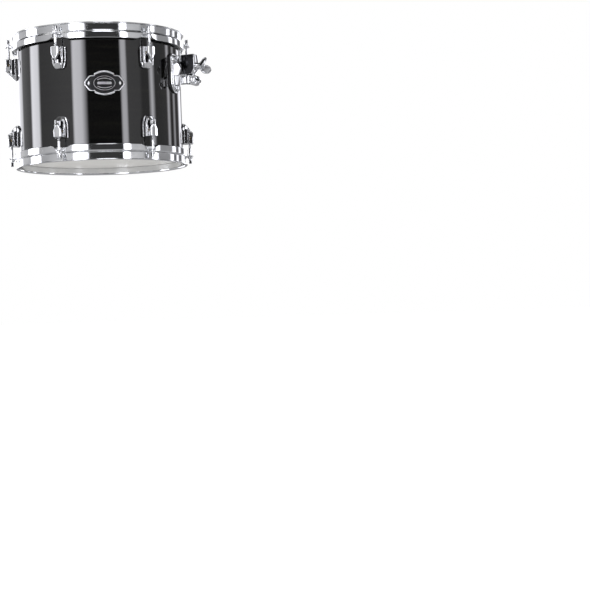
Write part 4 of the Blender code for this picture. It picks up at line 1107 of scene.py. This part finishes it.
def on_shell(outline, low, high, hole=None):
    """A curved layer of the given outline on the shell, from low to high above its surface."""
    top = BADGE_HEIGHT + BADGE_HALF_HEIGHT + FAR_PAST
    bottom = BADGE_HEIGHT - BADGE_HALF_HEIGHT - FAR_PAST
    inner, outer = SHELL_RADIUS + low, SHELL_RADIUS + high
    layer = turned([(outer, top), (outer, bottom), (inner, bottom), (inner, top)], BADGE_SIDES)
    tools = []
    for shape in (outline, hole):
        if shape:
            placed = [(across, along + BADGE_HEIGHT) for across, along in shape]
            tools.append(prism(placed, SHELL_RADIUS - 2 * FAR_PAST, SHELL_RADIUS + 2 * FAR_PAST, "X"))
    return combine(layer, within=tools[:1], cut=tools[1:])


def build_badge():
    """A blank badge: sunken dark ground, bright raised rims, a plain bar and two bowed lines."""
    where = DRUM @ Matrix.Rotation(BADGE_ANGLE, 4, "Z")
    ground = on_shell(badge_outline(BADGE_GROUND_INSET, BADGE_GROUND_INSET), BADGE_BASE, BADGE_GROUND_TOP)
    piece("badge_ground", ground, BADGE_FIELD, ["badge"], where=where, slot="badge_metal")
    inside = badge_outline(BADGE_RIM_WIDTH, BADGE_ARCH_WIDTH)
    rim = on_shell(badge_outline(), BADGE_BASE, BADGE_RIM_TOP, inside)
    rim = bevelled(rim, width=0.0004, segments=2, angle=radians(50))
    piece("badge_rim", rim, BADGE_METAL, where=where)
    frame_line = on_shell(oval(), RELIEF_BASE, RELIEF_TOP, oval(OVAL_LINE))
    bar = rectangle(-PLAQUE_HALF_WIDTH, PLAQUE_HALF_WIDTH, -PLAQUE_HALF_HEIGHT, PLAQUE_HALF_HEIGHT)
    plaque = on_shell(rounded(bar, radius=0.0024, steps=5), RELIEF_BASE, PLAQUE_TOP)
    shapes = []
    for side in (1, -1):
        shares = np.linspace(-1, 1, BADGE_STEPS + 1)
        outer = [(BOW_HALF_WIDTH * share, side * (BOW_HEIGHT - BOW_DROP * share * share)) for share in shares]
        inner = [(across, along - side * BOW_LINE) for across, along in outer]
        shapes.append(outer + inner[::-1])
    for side in (1, -1):
        middle, wide = side * LOZENGE_MIDDLE, side * LOZENGE_HALF_WIDTH
        top, bottom = (middle, LOZENGE_HALF_HEIGHT), (middle, -LOZENGE_HALF_HEIGHT)
        shapes.append([(middle - wide, 0.0), top, (middle + wide, 0.0), bottom])
    relief = [on_shell(shape, RELIEF_BASE, RELIEF_TOP) for shape in shapes]
    piece("badge_relief", merged(frame_line, plaque, *relief), BADGE_METAL, where=where)


# Air vent
def build_vent():
    inner = SHELL_RADIUS - SHELL_WALL - VENT_INNER_GAP
    outer = SHELL_RADIUS + GAP
    crest = outer + VENT_RISE
    outline = [
        (VENT_FLANGE, outer + VENT_EDGE), (VENT_FLANGE, outer), (VENT_NECK, outer), (VENT_NECK, inner),
        (VENT_NUT, inner), (VENT_NUT, inner - 2 * VENT_EDGE), (VENT_BORE, inner - VENT_RISE),
        (VENT_BORE, crest), (VENT_CREST, crest),
    ]
    vent = turned(rounded(outline, VENT_EASES, 3), 64, axis="X")
    piece("vent_grommet", vent, CHROME, ["air_vent_grommet"], where=DRUM @ Matrix.Rotation(pi, 4, "Z"))


# Clamp bracket
def plate_outline(inset):
    """The base plate's outline, drawn in: a round lower end, and eased corners above."""
    half, low, high = PLATE_HALF - inset, PLATE_BOTTOM + inset, PLATE_TOP - inset
    corner = half / 2
    points = arc((0.0, low + half), half, 180, 360, 24)
    points += arc((half - corner, high - corner), corner, 0, 90, 8)
    return points + arc((corner - half, high - corner), corner, 90, 180, 8)


def clamp_outline(start, inset=0.0):
    """The clamp's side view from a start radius: flat top, V-shaped front and foot, sloped back."""
    share = (CLAMP_FOOT - start) / (CLAMP_FOOT - ARM_START)
    slope_height = CLAMP_BOTTOM + share * (ARM_BOTTOM - CLAMP_BOTTOM)
    return [
        (start, CLAMP_TOP - inset),
        (CLAMP_BLOCK_FACE - inset, CLAMP_TOP - inset),
        (CLAMP_BLOCK_FACE - inset, CLAMP_FACE_BOTTOM),
        (CLAMP_FOOT_END, CLAMP_BOTTOM + inset),
        (CLAMP_FOOT, CLAMP_BOTTOM + inset),
        (start, slope_height + inset),
    ]


def flared(side, start, end, half_start, half_end, edge):
    """A bar of the given side view whose half width changes from one radius to another."""
    mesh = prism(side, -1.0, 1.0, "Y")
    for vertex in mesh.vertices:
        vertex.co.y *= half_start + (half_end - half_start) * share_of(vertex.co.x, start, end)
    return bevelled(mesh, edge)


def build_bracket():
    base = bevelled(prism(plate_outline(GAP), PLATE_BACK, PLATE_STEP, "X"), width=0.0009)
    raised = prism(plate_outline(GAP + PLATE_STEP_INSET), PLATE_STEP - PAST, PLATE_FACE, "X")
    raised = bevelled(raised, width=0.0010)
    root = PLATE_FACE - PLATE_OVERLAP
    arm = clamp_outline(ARM_START, ARM_INSET)
    arm = flared(arm, ARM_START, CHEEK_START, ARM_START_HALF, ARM_HALF, edge=0.0007)
    web_top = BOLT_PLACES[0][1] - BOLT_HEAD_RADIUS - GAP
    web = rectangle(root, CLAMP_FOOT + GAP, CLAMP_BOTTOM + GAP, web_top)
    web = flared(web, PLATE_FACE, CLAMP_FOOT, WEB_ROOT_HALF, WEB_HALF, edge=0.0008)
    neck = rounded(rectangle(-NECK_HALF, NECK_HALF, *NECK_LEVELS), radius=0.002)
    neck = prism(neck, root, ARM_START + PAST, "X")
    seat = disc(WING_SEAT_RADIUS, CLAMP_AXIS + EYE_RADIUS + 2 * GAP, CLAMP_BLOCK_FACE, EYE_LEVEL, "X")
    floor = EYE_HEIGHT - EYE_THICKNESS / 2 - GAP
    pocket_start = CLAMP_AXIS - EYE_RADIUS - EYE_TRAVEL - 2 * GAP
    pocket_end = CLAMP_AXIS + EYE_RADIUS + GAP
    pocket = box((pocket_start, -POCKET_HALF, floor), (pocket_end, POCKET_HALF, CLAMP_TOP + 2 * PAST))
    pocket = bevelled(pocket, width=0.0012)
    bore = disc(ARM_BORE, CLAMP_BOTTOM - 6 * PAST, floor + 2 * PAST, ARM_AXIS)
    shank = disc(EYE_HOLE_RADIUS, CLAMP_AXIS, CLAMP_BLOCK_FACE + 2 * PAST, EYE_LEVEL, "X", 32)
    holes = []
    for spot in BOLT_PLACES:
        holes.append(disc(BOLT_HOLE_RADIUS, PLATE_BACK - PAST, PLATE_FACE + PAST, (0.0, *spot), "X", 24))
    body = combine(base, [raised, web, neck, arm, seat], [pocket, bore, shank, merged(*holes)])
    piece("bracket_casting", body, CHROME, ["bracket_body"])
    cheeks = clamp_outline(CHEEK_START)
    cheeks = flared(cheeks, CHEEK_START, CLAMP_BLOCK_FACE, CHEEK_START_HALF, CHEEK_END_HALF, edge=0.0009)
    cheeks = combine(cheeks, cut=[pocket, bore, shank])
    # The cheeks' flat outer sides get a painted dark reflection in place of plain chrome
    for face in cheeks.polygons:
        if abs(face.normal.y) > 0.9 and abs(face.center.y) > ARM_HALF:
            face.material_index = 1
    piece("bracket_cheeks", cheeks, (CHROME, PAINTED_DARK_REFLECTION))
    pad = plate_outline(-PLATE_PAD_PROUD)
    pad = rubber_pad(pad, PLATE_PAD_BURY, PLATE_BACK - 2 * PAD_GAP, PLATE_BOTTOM, PLATE_TOP)
    piece("bracket_pad", pad, RUBBER, ["bracket_gasket"])
    piece_of_node("bracket_backing_plate", ZINC)


def piece_of_node(node, material):
    """Give a carried node its finish."""
    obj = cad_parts[node]
    obj.data.materials.clear()
    obj.data.materials.append(material)


def build_bracket_bolts():
    """Domed heads with two driving recesses."""
    low = PLATE_FACE + GAP
    high = low + BOLT_HEAD_HEIGHT
    outline = [(BOLT_HEAD_RADIUS, low), (BOLT_HEAD_RADIUS, low + BOLT_HEAD_EDGE), (BOLT_HEAD_FLAT, high)]
    for number, (across, height) in enumerate(BOLT_PLACES, 1):
        spot = (0.0, across, height)
        head = spun(outline, [0.0003, 0.0012, 0.002], 4, 64, "X", spot)
        slots = []
        for side in (1, -1):
            place = (0.0, across, height + side * BOLT_SLOT_PLACE)
            slots.append(disc(BOLT_SLOT_RADIUS, high - BOLT_SLOT_DEPTH, high + PAST, place, "X", 24))
        shank = disc(BOLT_SHANK_RADIUS, LUG_SCREW_END, low + GAP, spot, "X", 24)
        bolt = combine(head, [shank], [merged(*slots)])
        piece(f"bracket_screw_{number}", bolt, CHROME, [f"bracket_bolt_{number}"])


def build_eye_bolt():
    low, high = EYE_HEIGHT - EYE_THICKNESS / 2, EYE_HEIGHT + EYE_THICKNESS / 2
    eye = disc(EYE_RADIUS, low, high, ARM_AXIS, sides=64, edge=0.0015)
    start = CLAMP_AXIS + EYE_RADIUS - 2 * PAST
    length = EYE_SHANK_END - start
    thread = (length - EYE_THREAD_LENGTH, length - EYE_THREAD_END)
    shank = threaded_bar(EYE_SHANK_RADIUS, (0.0, length), thread, EYE_THREAD_PITCH, EYE_THREAD_DEPTH, 28)
    shank.transform(Matrix.Translation((start, 0.0, EYE_HEIGHT)) @ TURNS["X"])
    bore = disc(ARM_BORE, low - PAST, high + PAST, ARM_AXIS)
    piece("clamp_eye_bolt", combine(eye, [shank], [bore]), ZINC, ["eye_bolt"], "eye_bolt")


def paddle_mesh():
    """A dished finger plate with a raised rim, on a short neck."""
    half = WING_THICKNESS / 2
    dish = half - WING_DISH
    rim = WING_PADDLE_RADIUS
    outline = [
        (rim - WING_RIM_INNER, -dish), (rim - WING_RIM_OUTER, -half), (rim, -half),
        (rim, half), (rim - WING_RIM_OUTER, half), (rim - WING_RIM_INNER, dish),
    ]
    eases = [0.001, 0.0008, 0.0012, 0.0012, 0.0008, 0.001]
    plate = spun(outline, eases, 4, 64, "Y", (WING_PADDLE_OFFSET, 0.0, 0.0))
    neck_end = WING_PADDLE_OFFSET - rim + WING_NECK_START
    flat = half - WING_NECK_INSET
    neck = box((WING_NECK_START, -flat, -WING_NECK_HALF), (neck_end, flat, WING_NECK_HALF))
    return combine(plate, [bevelled(neck, width=0.0008)])


def build_wing_nut():
    outline = [(WING_HUB_RADIUS, 0.0), (WING_HUB_RADIUS - WING_HUB_TAPER, WING_HUB_LENGTH)]
    hub = spun(outline, [0.0006, 0.0012], 4, 64, "X")
    wings = []
    for side in (1, -1):
        wing = paddle_mesh()
        wing.transform(Matrix.Rotation(side * WING_SPLAY, 4, "Z"))
        wings.append(wing)
    far = 2 * FAR_PAST
    behind = box((-far, -far, -far), (0.0, far, far))
    bore = disc(EYE_HOLE_RADIUS, -PAST, 3 * FAR_PAST, axis="X", sides=32)
    nut = combine(hub, wings, [behind, bore])
    nut.transform(Matrix.Rotation(WING_TURN, 4, "X"))
    where = DRUM @ Matrix.Translation((WING_START, 0.0, EYE_HEIGHT))
    piece("clamp_wing_nut", nut, CHROME, ["wing_nut"], "wing_nut", where)
    washer = ring(EYE_HOLE_RADIUS, WING_WASHER_RADIUS, 0.0, WING_WASHER_THICKNESS, 0.0004, 64, axis="X")
    where = DRUM @ Matrix.Translation((CLAMP_FACE, 0.0, EYE_HEIGHT))
    piece("clamp_washer", washer, CHROME, ["wing_nut_washer"], where=where)


# Memory lock
def lock_knuckle(side, low, high):
    """One barrel of the hinge with the link that ties it to its half of the lock."""
    barrel = disc(LOCK_KNUCKLE_RADIUS, low, high, HINGE_AXIS, sides=40, edge=0.0005)
    near, far = sorted((side * (LOCK_SPLIT + GAP), side * (LOCK_KNUCKLE_RADIUS - GAP)))
    link_end = HINGE_RADIUS + 2 * LOCK_KNUCKLE_RADIUS
    link = box((HINGE_RADIUS, near, low + LOCK_SPLIT), (link_end, far, high - LOCK_SPLIT))
    return combine(barrel, [link])


def lock_half(side):
    """Half of the collar: side 1 is fixed to the clamp's foot, side -1 swings on the hinge pin."""
    fixed = side > 0
    depth = LOCK_BOSS_DEPTH
    dish = depth - LOCK_DISH_DEPTH
    top = CLAMP_BOTTOM - GAP if fixed else LOCK_TOP
    collar = disc(LOCK_RADIUS, LOCK_BOTTOM, top, ARM_AXIS, sides=64, edge=0.0008)
    bar_end = (KEY_BOLT_PLACE, LOCK_BAR_DEPTH, LOCK_TOP - GAP)
    bar = bevelled(box((HINGE_RADIUS, -LOCK_BAR_DEPTH, LOCK_BOTTOM + GAP), bar_end), width=0.0010)
    outline = [(LOCK_BOSS_RADIUS, 0.0), (LOCK_BOSS_RADIUS, depth), *zip(LOCK_DISH_RADII, (depth, dish))]
    boss = spun(outline, [0, 0.0014, 0.0003, 0.0003], 4, 64, "Y")
    boss.transform(Matrix.Scale(side, 4, (0.0, 1.0, 0.0)))
    if not fixed:
        boss.flip_normals()
    boss.transform(Matrix.Translation(KEY_BOLT_AXIS))
    thin, thick = [side * size for size in LOCK_CAP_DEPTHS]
    cap = [(LOCK_CAP_START, 0.0), (LOCK_CAP_END, 0.0), (LOCK_CAP_END, thin), (LOCK_CAP_START, thick)]
    cap = prism(cap, LOCK_BOTTOM + LOCK_CAP_INSET, LOCK_TOP - LOCK_CAP_INSET)
    cap = bevelled(cap, width=0.0006, segments=2)
    near, far = sorted((LOCK_SPLIT * side, -LOCK_DEPTH * side))
    away = box((LOCK_REACH[0], near, -FAR_PAST), (LOCK_REACH[1], far, CLAMP_BOTTOM + PAST))
    space = disc(LOCK_KNUCKLE_RADIUS + GAP, LOCK_BOTTOM - GAP, LOCK_TOP + GAP, HINGE_AXIS, sides=40)
    half = combine(collar, [bar, boss, cap], [away, space])
    third = (LOCK_TOP - LOCK_BOTTOM) / 3
    low, high = LOCK_BOTTOM + third, LOCK_TOP - third
    spans = [(LOCK_BOTTOM, low - GAP), (high + GAP, LOCK_TOP)] if fixed else [(low, high)]
    bore = disc(ARM_BORE, LOCK_BOTTOM - 2 * PAST, CLAMP_BOTTOM + 2 * PAST, ARM_AXIS)
    pin_hole = disc(LOCK_PIN_HOLE, LOCK_BOTTOM - 2 * PAST, LOCK_TOP + 2 * PAST, HINGE_AXIS, sides=24)
    slot = KEY_BOLT_RADIUS + 2 * GAP
    if fixed:
        thread = disc(slot, -PAST, depth + PAST, KEY_BOLT_AXIS, "Y", 32)
    else:
        slot_low = (KEY_BOLT_PLACE - slot, -depth - PAST, KEY_BOLT_LEVEL - slot)
        thread = box(slot_low, (KEY_BOLT_PLACE + 2 * LOCK_BOSS_RADIUS, PAST, KEY_BOLT_LEVEL + slot))
    return combine(half, [lock_knuckle(side, *span) for span in spans], [bore, pin_hole, thread])


def build_memory_lock():
    piece("lock_fixed_half", lock_half(1), CHROME, ["memory_lock_body"])
    piece("lock_gate_half", lock_half(-1), CHROME, ["memory_lock_gate"], "memory_lock_gate")
    pin = disc(LOCK_PIN_RADIUS, LOCK_BOTTOM, LOCK_TOP, HINGE_AXIS, sides=24, edge=0.0004)
    piece("lock_hinge_pin", pin, ZINC, ["memory_lock_hinge_pin"])
    out = DRUM @ Matrix.Translation((KEY_BOLT_PLACE, KEY_BOLT_SEAT, KEY_BOLT_LEVEL))
    out = out @ Matrix.Rotation(radians(90), 4, "X")
    washer = ring(KEY_BOLT_RADIUS + 2 * GAP, KEY_WASHER_RADIUS, 0.0, KEY_WASHER_THICKNESS, edge=0.0003)
    piece("key_bolt_ring", washer, ZINC, ["key_bolt_washer"], "key_bolt_washer", out)
    bottom = KEY_WASHER_THICKNESS + GAP
    flange_top = bottom + ROD_FLANGE_HEIGHT
    outline = [
        (0.0, flange_top), (ROD_FLANGE_RADIUS, flange_top - KEY_BOLT_SLOPE),
        (ROD_FLANGE_RADIUS, bottom), (0.0, bottom),
    ]
    collar = turned(rounded(outline, [0, 0.0008, 0.0003, 0], 3, False), ROD_SIDES, False)
    ends = (-KEY_BOLT_LENGTH, bottom + PAST)
    thread = (-KEY_BOLT_LENGTH + PAST, KEY_BOLT_THREAD_TOP)
    bar = threaded_bar(KEY_BOLT_RADIUS, ends, thread, KEY_BOLT_PITCH, KEY_BOLT_DEPTH)
    bolt = combine(collar, [bar, key_head(flange_top - PAST, flange_top + KEY_HEAD)])
    piece("lock_key_bolt", bolt, CHROME, ["memory_lock_key_bolt"], "key_bolt", out)


# Camera, light and floor
def build_camera():
    data = bpy.data.cameras.new("camera")
    data.sensor_fit = "HORIZONTAL"
    data.sensor_width = SENSOR
    data.lens = SENSOR * FOCAL_PIXELS / IMAGE_WIDTH
    data.clip_end = CAMERA_REACH
    camera = in_scene("camera", data)
    aim = Matrix.Rotation(CAMERA_TURN, 4, "Z") @ Matrix.Rotation(radians(90), 4, "X")
    aim = aim @ Matrix.Rotation(CAMERA_ROLL, 4, "Z")
    camera.matrix_world = DRUM @ aim @ Matrix.Translation(CAMERA_OFFSET)
    bpy.context.scene.camera = camera


def build_world():
    """White to the eye, strip lights to gloss, and a plain even level for everything else."""
    world = bpy.data.worlds.new("studio")
    bpy.context.scene.world = world
    world.use_nodes = True
    nodes = Nodes(world.node_tree)
    nodes.tree.nodes.clear()
    coordinates = nodes.add("ShaderNodeTexCoord").outputs["Generated"]
    direction = nodes.add("ShaderNodeSeparateXYZ", coordinates).outputs
    back = nodes.add("ShaderNodeMath", direction["Y"], -1.0, operation="MULTIPLY").outputs["Value"]
    azimuth = nodes.add("ShaderNodeMath", direction["X"], back, operation="ARCTAN2").outputs["Value"]
    turn = nodes.mapped(azimuth, -pi, pi)
    rise = nodes.mapped(direction["Z"], -1.0, 1.0)

    def greys(value, stops):
        """A ramp of levels, the bright ones a little cool."""
        tints = [COOL_TINT if level >= COOL_FROM else 1.0 for _, level in stops]
        colours = [(level, level, level * tint) for (_, level), tint in zip(stops, tints)]
        return nodes.ramp(value, list(zip([place for place, _ in stops], colours)))

    def background(colour, strength=1.0):
        return nodes.add("ShaderNodeBackground", colour, strength).outputs["Background"]

    def upright(heights):
        return greys(rise, [(0.5 + height / 2, level) for height, level in heights])

    def panels(fields, peak, heights):
        """Light fields that stand round the drum, cut off above and below."""
        around = greys(turn, [(0.5 + angle / 360, level / peak) for angle, level in fields])
        both = {"Factor": 1.0, "A": around, "B": upright(heights)}
        cut = nodes.add("ShaderNodeMix", data_type="RGBA", blend_type="MULTIPLY", **both)
        return background(cut.outputs["Result"], peak)

    fields = nodes.summed(panels(STRIPS, STRIP_PEAK, STRIP_HEIGHTS), background(upright(CEILING)))
    fields = nodes.summed(fields, panels(HIGH_PANEL, HIGH_PANEL_LEVEL, HIGH_PANEL_HEIGHTS))
    path = nodes.add("ShaderNodeLightPath").outputs
    lit = nodes.mixed(path["Is Glossy Ray"], background(WHITE, ROOM_LEVEL), fields)
    seen = nodes.mixed(path["Is Camera Ray"], lit, background(WHITE))
    nodes.add("ShaderNodeOutputWorld", seen)


def build_floor():
    """A pale floor that keeps the drum's shadow and fades to white for the eye."""
    square = rectangle(-FLOOR_HALF, FLOOR_HALF, -FLOOR_HALF, FLOOR_HALF)
    mesh = prism(square, FLOOR_HEIGHT - FLOOR_THICKNESS, FLOOR_HEIGHT)
    finish = Finish("floor", (0.86, 0.86, 0.86), 0.9)
    finish.tone(finish.noise(0.8, 3), (0.3, (0.84, 0.84, 0.84)), (0.7, (0.86, 0.86, 0.86)))
    finish.set("Specular IOR Level", 0.0)
    glow = finish.add("ShaderNodeEmission", WHITE, FLOOR_GLOW).outputs["Emission"]
    plain = finish.shader.outputs["BSDF"]
    to_camera = finish.add("ShaderNodeLightPath").outputs["Is Camera Ray"]
    surface = finish.mixed(to_camera, plain, finish.summed(plain, glow))
    finish.fill(finish.tree.nodes["Material Output"].inputs["Surface"], surface)
    mesh.materials.append(finish.material)
    floor = in_scene("floor", mesh)
    floor.visible_glossy = False


def build_lamp():
    """One large soft lamp, high on the left, for form and shadow."""
    data = bpy.data.lights.new("soft_lamp", "AREA")
    data.shape = "RECTANGLE"
    data.size = LAMP_SIZE
    data.size_y = LAMP_SIZE
    data.energy = LAMP_LEVEL * pi * LAMP_SIZE ** 2
    lamp = in_scene("soft_lamp", data)
    lamp.location = LAMP_PLACE
    aim = Vector((AXIS_X, 0.0, MIDDLE)) - lamp.location
    lamp.rotation_euler = aim.to_track_quat("-Z", "Y").to_euler()
    lamp.visible_camera = False


build_shell()
build_heads()
build_hoops()
build_rods()
build_lugs()
build_badge()
build_vent()
build_bracket()
build_bracket_bolts()
build_eye_bolt()
build_wing_nut()
build_memory_lock()
build_camera()
build_world()
build_floor()
build_lamp()
bpy.context.scene.view_settings.view_transform = "Standard"
